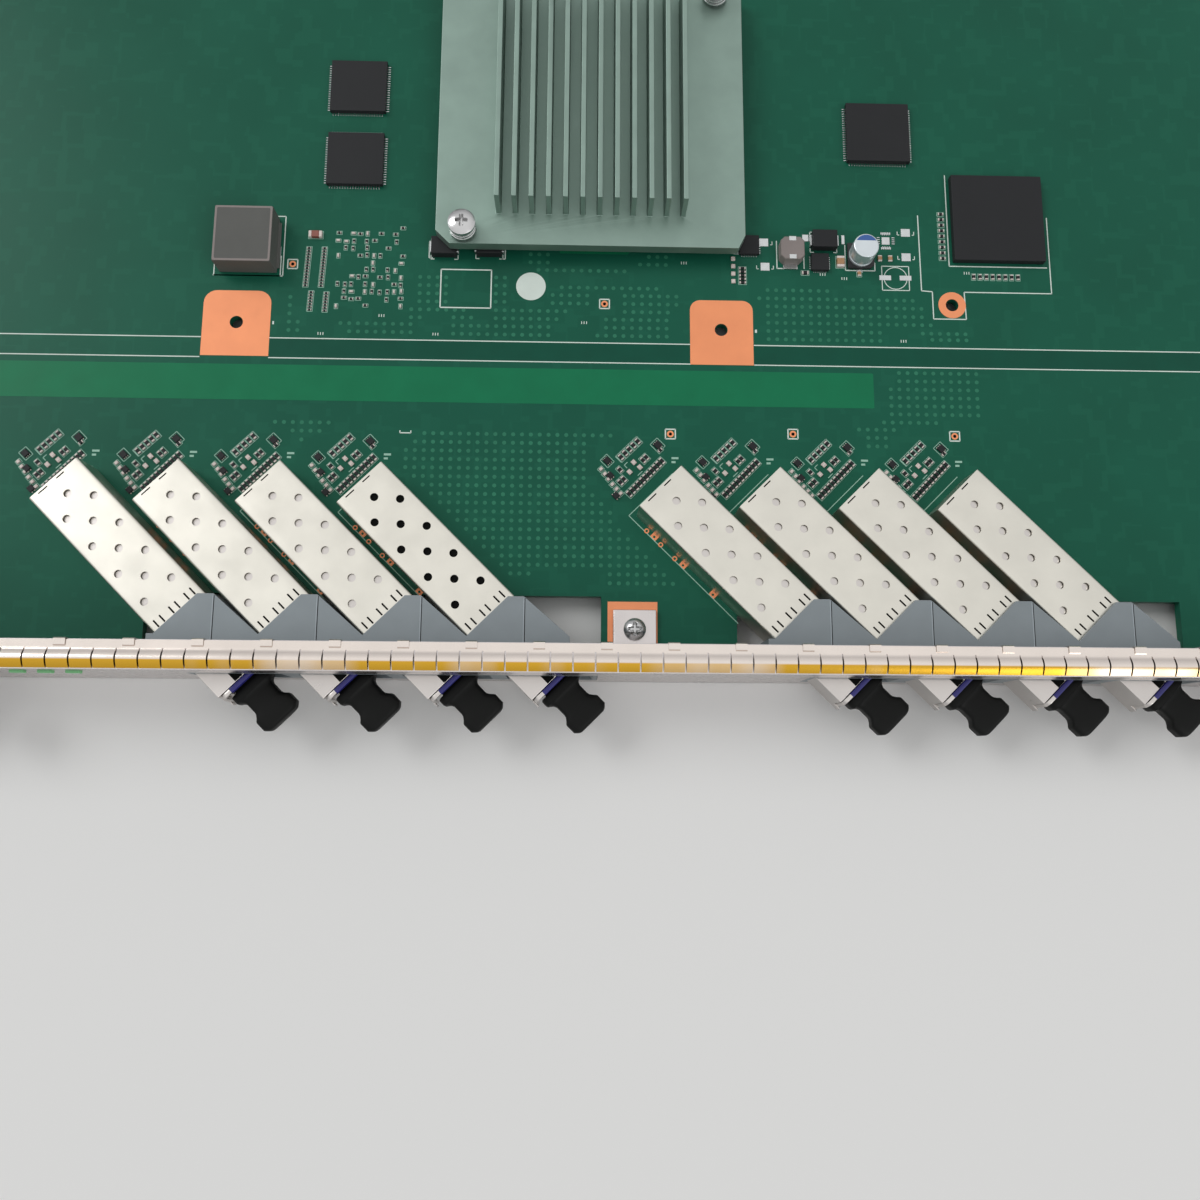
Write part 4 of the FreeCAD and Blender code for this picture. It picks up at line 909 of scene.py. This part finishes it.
# %% Bands and bare copper
STUD_RADIUS = 1.6                                # holes for the stiffener's screws
TARGETS = ((-84.3, 101.9), (-7.4, 92.8), (8.7, 59.6), (38.5, 60.0), (78.1, 60.0))
LANE = (77.7, 82.4)                              # front and rear edge of the dark lane
slanted = ((-18.6, 106.0), (-1.8, 106.0), (0.6, 108.4), (-18.6, 108.4))
piece("copper_band", together(plate(oblong(-190, 58.7, 66.8, 75.8, 0.4), 0, MASK),
                              plate(slanted, 0, MASK)), "mask_pale")
piece("clear_lane", together(*[plate(oblong(x0, x1, *LANE), 0, MASK * 0.6)
                               for x0, x1 in ((-88.7, 13.6), (29.5, 190))]),
      "mask_dark")


def corner_pad(x0, x1, y0, y1, radius, hole):
    """A pad with two rounded rear corners, given as an outline, and its hole."""
    right = np.column_stack((x1 - radius + radius * np.cos(quarter),
                             y1 - radius + radius * np.sin(quarter)))
    left = np.column_stack((x0 + radius - radius * np.sin(quarter),
                            y1 - radius + radius * np.cos(quarter)))
    return plate(np.concatenate(([(x0, y0), (x1, y0)], right, left)), 0, PAD,
                 [circle(*hole, STUD_RADIUS, 28)])


pads = [corner_pad(-105.3, -88.9, 77.9, 94.7, 3.2, (-97.1, 86.5)),
        corner_pad(13.7, 29.3, 77.4, 94.2, 2.6, (21.4, 86.5)),
        plate(circle(79.2, 94.0, 3.45, 36), 0, PAD, [circle(79.2, 94.0, STUD_RADIUS, 28)]),
        plate(oblong(-6.3, 5.4, 1.6, 18.4), 0, PAD, [circle(0, 11.7, 1.9, 20)])]
pads += [plate(circle(*place, 0.85, 16), 0, PAD, [circle(*place, 0.42, 12)])
         for place in TARGETS]
piece("bare_copper", together(*pads), "copper_pad")
# Dark discs in the targets' holes are painted shade.
piece("target_hole_shade", scattered(disc(0.42, 0.02), [(*place, 0) for place in TARGETS]),
      "painted_recess_shade")
print("two bands, a lane in two parts and", len(pads), "copper pads")

# %% [markdown]
# White ink frames the parts and divides the board's zones. Printed words are left out: a plain
# mark of three ticks, a plain disc or a plain frame stands in their places.

# %% White ink
LINES = [[(x0, y), (x1, y)] for x0, x1 in ((-88.9, 13.7), (29.4, 190), (-190, -105.4))
         for y in (82.6, 77.5)]
LINES += (
    [(-87.2, 104.0), (-87.2, 98.7), (-103.6, 98.7)], [(-87.9, 106.7), (-87.9, 112.0)],
    [(71.6, 118.0), (71.7, 97.7), (74.4, 97.5), (74.4, 90.3), (82.6, 90.3), (82.4, 97.5),
     (104.5, 97.5), (104.5, 118.0)],
    [(79.0, 129.2), (79.0, 104.4), (103.8, 104.4)],
    [(-31.2, 109.0), (22.0, 109.0)], [(-18.2, 108.3), (-18.2, 110.0)],
    [(-56.4, 59.6), (-56.4, 59.0), (-53.8, 59.0), (-53.8, 59.6)],
    [(-50.0, 108.6), (-50.9, 108.6), (-50.9, 104.2), (-50.0, 104.2)],
    [(-33.0, 104.2), (-32.1, 104.2), (-32.1, 108.6)],
    [(35.6, 110.4), (35.6, 103.0), (37.0, 103.0)], [(42.4, 110.4), (42.4, 103.0)],
    [(52.8, 109.6), (52.8, 102.8), (60.2, 102.8), (60.2, 105.0)],
    [(17.0, 106.8), (22.6, 106.8)])
MARKS = ((-76.6, 83.9), (-48.7, 84.2), (-12.4, 87.8), (12.3, 104.0), (66.6, 84.3), (47.0, 101.6),
         (52.4, 100.6), (83.3, 102.6), (88.0, 101.4), (-62.0, 88.8))


def small_mark(x, y):
    """Three short ticks, as a plain place mark."""
    return together(*[stroke(x + shift, y - 0.35, x + shift, y + 0.35, 0.2)
                      for shift in (-0.6, 0.0, 0.6)])


ink = [strokes(path, 0.26) for path in LINES]
ink += [frame_of(*place, 1.2, 1.2, 0.3) for place in TARGETS]
ink += [small_mark(*place) for place in MARKS]
ink += [stroke(-88.2, 86.1, -88.2, 86.9, 0.4), stroke(30.0, 85.9, 30.0, 86.7, 0.5),
        scattered(disc(3.65, INK, 40), [(-25.6, 97.1, 0)]),
        frame_of(-41.6, 96.2, 6.2, 5.0, 0.3),
        strokes(circle(65.3, 100.9, 2.9, 28), 0.2, closed=True),
        frame_of(65.3, 100.9, 3.4, 3.2, 0.22)]
piece("white_lines", together(*ink), "white_ink")
print(len(ink), "printed marks")

# %% [markdown]
# ## Hundreds of small parts
#
# A chip part is a ceramic body between two tinned ends, soldered on and outlined in white ink.
# They stand in rows, so each row is written as a start, a step and a count. One template serves
# all: its body, ends and outline are boxes scaled to the part's size, and each kind is merged
# into one mesh for the whole board.

# %% The chip part and its rows
BODY_SHARE, END_SHARE, END_PLACE = 0.56, 0.22, 0.79      # of half the part's length


def chip_part(kind, x, y, length, width, height=0.45, outline=True):
    """Body, ends and outline of one chip part; a part longer in Y gives its width first."""
    place, half = np.array((x, y), float), np.array((length, width)) / 2
    long_way = 0 if length >= width else 1
    body = half.copy()
    body[long_way] *= BODY_SHARE
    ends = []
    for sign in (-1, 1):
        middle, reach = place.copy(), half.copy()
        middle[long_way] += sign * half[long_way] * END_PLACE
        reach[long_way] *= END_SHARE
        ends.append(block((*(middle - reach), 0), (*(middle + reach), height * 0.92), 0.06))
    parts = {kind: block((*(place - body), 0), (*(place + body), height), 0.05),
             "ends": together(*ends)}
    if outline:
        parts["ink"] = frame_of(x, y, half[0] + 0.22, half[1] + 0.22, 0.13)
    return parts


def rows_of(rows):
    """Equal parts at equal steps. A row is its kind, first x and y, step in x and y, count,
    length and width, and may add a height and whether the parts have an outline."""
    return [chip_part(kind, x + k * step_x, y + k * step_y, *size)
            for kind, x, y, step_x, step_y, count, *size in rows for k in range(count)]


def gathered(parts, place):
    """All parts' shapes by kind, sent to their place on the card."""
    kinds = {}
    for part in parts:
        for kind, shape in part.items():
            kinds.setdefault(kind, []).append(shape)
    return {kind: (place(points), faces) for kind, (points, faces)
            in ((kind, together(*shapes)) for kind, shapes in kinds.items())}


print("one chip part has", sum(len(s[1]) for s in chip_part("tan", 0, 0, 1, 0.5).values()),
      "faces")

# %% [markdown]
# ## The cluster behind each cage
#
# Every port has the same supply filters and termination parts behind its cage, laid out along
# the port's own slanted axes. They are drawn once in those axes and placed eight times.

# %% One port's cluster
CLUSTER_ROWS = (                                 # each as rows_of takes it
    ("black", -55.95, 0.6, 0.0, 1.42, 5, 1.5, 0.8),
    ("black", -48.1, -4.4, -0.03, 1.14, 11, 1.7, 0.72),
    ("black", -51.7, 3.9, 0.0, 1.05, 2, 1.6, 0.7),
    ("black", -51.6, -3.9, 0.0, 1.15, 2, 1.6, 0.75),
    ("pale", -57.2, -4.9, 1.5, -0.2, 3, 0.7, 0.9), ("pale", -52.6, -5.6, 1.5, -0.1, 3, 0.7, 0.9))
TINY_CHIPS = (                                   # middle x, middle y, half a side, pins
    (-51.9, 9.1, 0.8, 3), (-57.6, -2.4, 0.75, 3), (-54.5, -4.5, 0.7, 2), (-50.0, -7.0, 0.7, 2))
RING_PLACES, SQUARE_PLACES = (-38.8, -34.1, -29.4), (-36.5, -26.9, -17.0)


def tiny_chip(x, y, half, pins):
    """A small black body with pins on two sides."""
    step = 2 * half / pins
    legs = [block((x + side * half - 0.25, y - half + step * (k + 0.3), 0),
                  (x + side * half + 0.25, y - half + step * (k + 0.7), 0.15), 0.03)
            for side in (-1, 1) for k in range(pins)]
    return {"black": block((x - half, y - half, 0), (x + half, y + half, 0.6), 0.08),
            "ends": together(*legs)}


def cluster():
    """Rows of small parts, single ones and tiny chips, with the ink round them."""
    parts = rows_of(CLUSTER_ROWS)
    parts += [chip_part("pale", *place, 1.15, 1.0, 0.4, False)
              for place in ((-52.9, 1.9), (-51.0, 2.1), (-51.9, -0.5))]
    parts += [chip_part("black", -53.9, -1.8, 1.4, 0.8), chip_part("black", -50.6, 8.6, 0.6, 1.1)]
    parts += [tiny_chip(*chip) for chip in TINY_CHIPS]
    lines = [frame_of(-55.95, 3.4, 1.05, 3.6, 0.2), frame_of(-51.9, 9.1, 1.4, 1.2, 0.16),
             frame_of(-57.6, -2.4, 1.3, 1.1, 0.16)]
    lines += [strokes(path, width) for path, width in (
        ([(-54.0, 0.9), (-54.0, -0.2), (-53.0, -0.2)], 0.2), ([(-49.9, 1.9), (-49.9, 0.3)], 0.2),
        ([(-44.4, 6.8), (-44.4, -8.2), (-8.0, -8.2)], 0.2), ([(-47.3, 9.2), (-46.1, 10.4)], 0.5),
        ([(-46.6, 8.5), (-45.9, 9.2)], 0.5))]
    return parts + [{"ink": together(*lines)}]


def side_pads():
    """Bare copper beside the cage: plated rings and square pads with a hole each."""
    shapes = [plate(circle(x, -7.8, 0.62, 14), 0, PAD, [circle(x, -7.8, 0.32, 10)])
              for x in RING_PLACES]
    shapes += [plate(oblong(x - 0.85, x + 0.85, -8.1, -7.0), 0, PAD,
                     [circle(x, -7.55, 0.3, 10)]) for x in SQUARE_PLACES]
    return together(*shapes)


print("a cluster of", len(cluster()), "parts behind each cage")

# %% [markdown]
# ## The parts on the rest of the board
#
# Two pairs of dense rows stand left of the heat sink, beside a field of filters. The field is a
# seeded choice of places on a fine lattice, each moved a little and lying one way or the other.
# The step-down supplies have their capacitors beside the drum core and the round can.

# %% Rows, field and supplies
LOOSE_ROWS = [("black", x, y, 0.035, 0.76, count, 0.95, 0.38, 0.3) for x, y, count in
              ((-80.9, 96.3, 14), (-77.1, 96.3, 14), (-79.6, 90.0, 7), (-75.9, 89.8, 7))]
LARGE_PARTS = (("tan", 51.5, 104.9, 1.8, 2.8), ("rust", -79.0, 109.7, 3.2, 1.6),
               ("pale", -15.6, 109.5, 2.4, 1.3))
SUPPLY_ROWS = (
    ("black", 26.9, 99.0, 0.0, 0.95, 5, 1.6, 0.5),
    ("pale", 24.6, 99.3, 0.0, 2.0, 4, 1.0, 1.0, 0.4, False),
    ("tan", 11.6, 109.6, 1.75, 0.0, 4, 0.8, 1.4, 0.4, False),
    ("black", 77.4, 106.4, 0.0, 1.5, 9, 1.3, 0.6),
    ("tan", 61.5, 106.1, 2.6, 0.0, 2, 1.0, 1.5, 0.5, False),
    ("black", 85.0, 101.6, 1.6, 0.0, 8, 0.7, 1.3))


def filter_field(count=58, seed=5):
    """Small parts on a fine lattice, a seeded choice of its places, lying both ways."""
    chooser = np.random.default_rng(seed)
    places = lattice(-73.2, 91.2, 10, 12, 1.75, 1.9)
    chosen = places[chooser.permutation(len(places))[:count]]
    chosen += chooser.uniform(-0.2, 0.2, chosen.shape)
    kinds = chooser.choice(("black", "black", "pale"), count)
    return [chip_part(kind, x, y, *((0.9, 0.45) if upright else (0.45, 0.9)))
            for kind, (x, y), upright in zip(kinds, chosen, chooser.random(count) > 0.5)]


loose = rows_of(LOOSE_ROWS) + filter_field() + [chip_part(*size, 0.9) for size in LARGE_PARTS]
loose += rows_of(SUPPLY_ROWS) + [chip_part("black", 42.6, 101.9, 1.6, 0.8),
                                 chip_part("tan", 56.2, 102.0, 0.8, 1.4)]
groups = [gathered(cluster(), lambda points, k=k: at_port(points, k)) for k in PORTS]
groups.append(gathered(loose, on_board))
for kind, used, slot in (
        ("black", "chip_black", "chip_plastic"), ("tan", "ceramic_tan", "chip_plastic"),
        ("pale", "pad_white", "chip_plastic"), ("rust", "rust_body", "chip_plastic"),
        ("ends", "pad_white", "board_green"), ("ink", "thin_ink", "board_green")):
    shape = together(*[group[kind] for group in groups if kind in group])
    piece("chip_parts_" + kind, shape, used, place=np.asarray)
    print(kind, "small parts:", len(shape[1]), "faces")
piece("side_pads", at_ports(side_pads()), "copper_pad", place=np.asarray)

# %% [markdown]
# ## Soldered pads and contact rows
#
# Bare pads hold solder or wait for parts that were never fitted. The rear connectors show rows
# of gold contacts in their slots.

# %% Tinned pads and gold contacts
MARKED_PADS = (                                  # square pads with white ink on both sides
    (32.4, 109.9), (32.6, 103.4), (68.3, 113.2), (68.2, 106.6))
TINNED = (                                       # middle x, middle y, half x, half y
    (-88.0, 104.9, 0.7, 1.5), (39.4, 110.9, 1.4, 0.5), (39.7, 105.4, 1.3, 0.6),
    (38.8, 103.4, 1.7, 0.6), (62.7, 101.0, 1.5, 0.65), (67.8, 101.0, 1.5, 0.65),
    (26.3, 107.2, 1.6, 0.6), (56.3, 102.7, 0.8, 0.4), (42.9, 111.3, 0.8, 0.9),
    (52.4, 111.0, 0.4, 1.2), (63.2, 110.9, 1.0, 1.0),
    *[(*place, 1.15, 1.05) for place in MARKED_PADS])
tinned = [block((x - a, y - b, 0), (x + a, y + b, 0.12), 0.05) for x, y, a, b in TINNED]
pad_row = block((-0.42, -0.5, 0), (0.42, 0.5, 0.12), 0.04)
tinned.append(scattered(pad_row, [(-12.3 + 1.4 * k, 110.0, 0) for k in range(10)]))
pin = block((-0.13, -0.3, 0), (0.13, 0.3, 0.1), 0.02)
tinned.append(scattered(pin, [(63.2 + 0.55 * k, 110.9 + side * 2.0, 0)
                              for side in (-1, 1) for k in (-2, -1, 0, 1, 2)]))
piece("tinned_pads", together(*tinned), "solder")


def contact_rows(connector):
    """Gold blades in the slots of a backplane connector, from the box of its node."""
    low, high = card_box(connector)
    middle = (low[2] + high[2]) / 2
    blade = block((-0.3, -1.5, -0.12), (0.3, 0.0, 0.12), 0.05)
    return scattered(blade, [(x, high[1] - 0.3, middle + rise) for rise in (-4.8, -1.6, 1.6, 4.8)
                             for x in np.arange(low[0] + 3.0, high[0] - 2.9, 2.0)])


piece("gold_contacts", together(contact_rows("backplane_connector_left"),
                                contact_rows("backplane_connector_right")),
      "gold_contact")
print(len(tinned), "shapes of solder placed, and the contacts")

# %% [markdown]
# ## Round and square parts
#
# A can capacitor is a turned shape: a profile of radius and height carried round an axis, with a
# printed stripe on its top and a moulded foot below. The drum core is a low block with cut
# corners, and two tinned straps lie over it and under it.

# %% Can and drum core
CAN, CAN_STRIPE, DRUM = (56.6, 106.5), 2.75, (39.0, 107.0)
can_top, drum_top, coil_top = [card_box(solid)[1][2] for solid in
                               ("electrolytic_capacitor", "drum_inductor", "power_inductor")]


def turned(profile, x, y, sides=40):
    """A profile of (radius, height) pairs round a vertical axis, closed at both ends."""
    ring = circle(0, 0, 1, sides)
    return loft([at_height((x, y) + radius * ring, height) for radius, height in profile])


def cut_square(x, y, half, corner, top, chamfer=0.2):
    """A block with four cut corners and a chamfered top edge."""
    def ring(inset, height):
        """One station: eight corners, drawn in by the inset."""
        reach, short = half - inset, half - corner
        flat = np.array(((-short, -reach), (short, -reach), (reach, -short), (reach, short),
                         (short, reach), (-short, reach), (-reach, short), (-reach, -short)))
        return at_height(flat + (x, y), height)
    return loft([ring(0, 0), ring(0, top - chamfer), ring(chamfer, top)])


piece("can_body", turned((
    (2.9, 0.75), (3.1, 0.8), (3.15, 1.0), (3.15, 1.5), (2.98, 1.7), (2.98, 1.85), (3.15, 2.05),
    (3.15, can_top - 0.45), (3.05, can_top - 0.15), (2.85, can_top - 0.02),
    (2.6, can_top - 0.02)), *CAN), "can_white", ["electrolytic_capacitor"])
angle = np.linspace(math.radians(28), math.radians(152), 24)
stripe = np.array(CAN) + CAN_STRIPE * np.column_stack((np.cos(angle), np.sin(angle)))
piece("can_stripe", plate(stripe, can_top - 0.05, can_top), "blue_print")
foot = ((53.3, 103.2), (59.0, 103.2), (59.9, 104.1), (59.9, 108.9), (59.0, 109.8), (53.3, 109.8))
piece("can_foot", plate(foot, 0, 0.8), "host_black")
piece("drum_core", cut_square(*DRUM, 2.95, 1.0, drum_top), "drum_grey",
      ["drum_inductor"])
straps = [block((DRUM[0] - 0.85, DRUM[1] + side * 2.4 - 0.55, drum_top),
                (DRUM[0] + 0.85, DRUM[1] + side * 2.4 + 0.55, drum_top + 0.05))
          for side in (-1, 1)]
straps += [block((DRUM[0] - 1.7, DRUM[1] + front, 0), (DRUM[0] + 1.7, DRUM[1] + rear, 0.3))
           for front, rear in ((-4.2, -2.96), (2.96, 3.9))]
piece("drum_straps", together(*straps), "solder")
print("can", round(can_top, 2), "mm and drum", round(drum_top, 2), "mm over the board")

# %% [markdown]
# ## Leads of the larger parts
#
# A moulded diode has a bent tinned lead at each end and white corner marks round it. Flat square
# chips have a row of short pins along every side.

# %% Leads, corner marks and pins
DIODES = ((-36.0, 106.9), (-47.1, 106.6), (47.4, 110.2))       # middles
PINNED = (                                       # middle, half a side, pitch, width, reach
    (46.3, 104.6, 2.2, 0.5, 0.2, 0.4), (63.2, 110.9, 1.5, 0.55), (-70.0, 130.0, 7.0, 0.65),
    (-70.0, 150.0, 7.0, 0.65), (62.0, 140.0, 8.0, 0.65), (28.6, 108.8, 2.5, 0.6, 0.25, 0.4))


def pins_round(x, y, half, pitch, width=0.22, reach=0.75):
    """Pins along all four sides of a square chip, at one pitch."""
    legs = []
    for shift in np.arange(-half + 0.7, half - 0.6, pitch):
        for side in (-1, 1):
            inner, outer = sorted((side * half, side * (half + reach)))
            legs.append(block((x + inner, y + shift - width / 2, 0),
                              (x + outer, y + shift + width / 2, 0.18), 0.05))
            legs.append(block((x + shift - width / 2, y + inner, 0),
                              (x + shift + width / 2, y + outer, 0.18), 0.05))
    return together(*legs)


leads, marks = [], []
for x, y in DIODES:
    for side in (-1, 1):
        end = x + side * 3.35
        leads.append(block((end - 0.28, y - 1.4, 0), (end + 0.28, y + 1.4, 1.35), 0.15))
        marks += [strokes([(end, y + rear * 1.6), (end, y + rear * 2.7),
                           (end - side * 0.9, y + rear * 2.7)], 0.22) for rear in (-1, 1)]
marks.append(frame_of(-95.0, 106.6, 8.4, 7.9, 0.26))
marks += [strokes([(x + side * 1.6, y - 0.6), (x + side * 2.1, y - 0.6),
                   (x + side * 2.1, y + 0.3)], 0.2) for x, y in MARKED_PADS for side in (-1, 1)]
pins = together(*[pins_round(*chip) for chip in PINNED])
piece("diode_leads", together(*leads), "solder")
piece("chip_pins", pins, "solder")
piece("corner_marks", together(*marks), "white_ink")
piece("coil_rim", plate(oblong(-101.9, -88.1, 99.5, 113.7, 0.4), coil_top - 0.06, coil_top + 0.02,
                        [oblong(-101.4, -88.6, 100.0, 113.2, 0.3)]), "drum_grey")
print("leads on", len(DIODES), "diodes and", len(pins[1]), "pin faces")

# %% [markdown]
# ## Screws
#
# Three pan-head screws hold the brackets. The cross recess of a head is a dip whose depth depends
# on how near a point is to either arm of the cross. Two more screws hold the heat sink, each
# through a small coil spring, so that it presses evenly on the chip. A coil is a ring of points
# carried along a helix: the angle and the height grow together along the path.

# %% Screw heads and coil springs
HEAD_FROM_END, BRACKET_SHEET = 2.4, 1.2          # outer screws' axes, and what the heads sit on
CROSS_ARM, CROSS_REACH, CROSS_DEPTH = 0.42, 1.55, 1.0    # an arm's half width and reach
SINK_HEAD, SINK_HEAD_RISE, SINK_BASE = 3.3, 1.4, 3.0    # head radius and height, sink's plate
COIL_RADIUS, COIL_WIRE, COIL_TURNS = 2.98, 0.31, 3.0


def screw_head(x, y, base, radius=2.6, rise=1.9, rings=14, sides=56):
    """A dome of height rise * (0.35 + 0.65 * (1 - share^2.4)), where share is the distance from
    the axis over the radius; within the cross the height drops by up to the recess depth."""
    share, angle = np.meshgrid(np.linspace(0.02, 1, rings), np.arange(sides) * 2 * math.pi
                               / sides, indexing="ij")
    flat_x, flat_y = radius * share * np.cos(angle), radius * share * np.sin(angle)
    arm = np.minimum(np.abs(flat_x), np.abs(flat_y))
    along = np.maximum(np.abs(flat_x), np.abs(flat_y))
    dip = np.clip((CROSS_ARM - arm) / 0.18, 0, 1) * np.clip((CROSS_REACH - along) / 0.4, 0, 1)
    height = base + rise * (0.35 + 0.65 * (1 - share ** 2.4)) - CROSS_DEPTH * dip
    top = np.stack((x + flat_x, y + flat_y, height), axis=-1)[::-1]
    return loft(np.concatenate((at_height(top[0, :, :2], base)[None], top)))


def coil_spring(x, y, low, high, steps=70, sides=8):
    """A helix from low to high; each wire ring stands in the plane of the axis and the radius:
    its points lie wire * cos outwards and wire * sin upwards of the helix."""
    angle = np.linspace(0, COIL_TURNS * 2 * math.pi, steps)[:, None]
    middle = np.linspace(low + COIL_WIRE, high - COIL_WIRE, steps)[:, None]
    ring = np.arange(sides)[None, ::-1] * 2 * math.pi / sides
    reach = COIL_RADIUS + COIL_WIRE * np.cos(ring)
    return loft(np.stack((x + reach * np.cos(angle), y + reach * np.sin(angle),
                          middle + COIL_WIRE * np.sin(ring)), axis=-1))


bracket_low, bracket_high = card_box("bracket_screws")
head_base = card_box("panel_brackets")[0][2] + BRACKET_SHEET
spread = bracket_high[0] - HEAD_FROM_END
heads = [screw_head(x, (bracket_low[1] + bracket_high[1]) / 2, head_base)
         for x in (-spread, 0, spread)]
piece("cross_screws", together(*heads), "screw_steel", ["bracket_screws"])
screw_low, screw_high = card_box("heat_sink_screws")
sink_top = card_box("heat_sink")[0][2] + SINK_BASE
under_head = screw_high[2] - SINK_HEAD_RISE
sprung = []
for x, y in (screw_low[:2] + SINK_HEAD, screw_high[:2] - SINK_HEAD):
    sprung += [coil_spring(x, y, sink_top, under_head),
               turned(((1.45, screw_low[2]), (1.45, under_head + 0.2)), x, y, 24),
               screw_head(x, y, under_head, SINK_HEAD, SINK_HEAD_RISE)]
piece("sink_springs", together(*sprung), "screw_steel", ["heat_sink_screws"])
print(len(heads), "screws in the brackets and", len(sprung) // 3, "with coil springs")
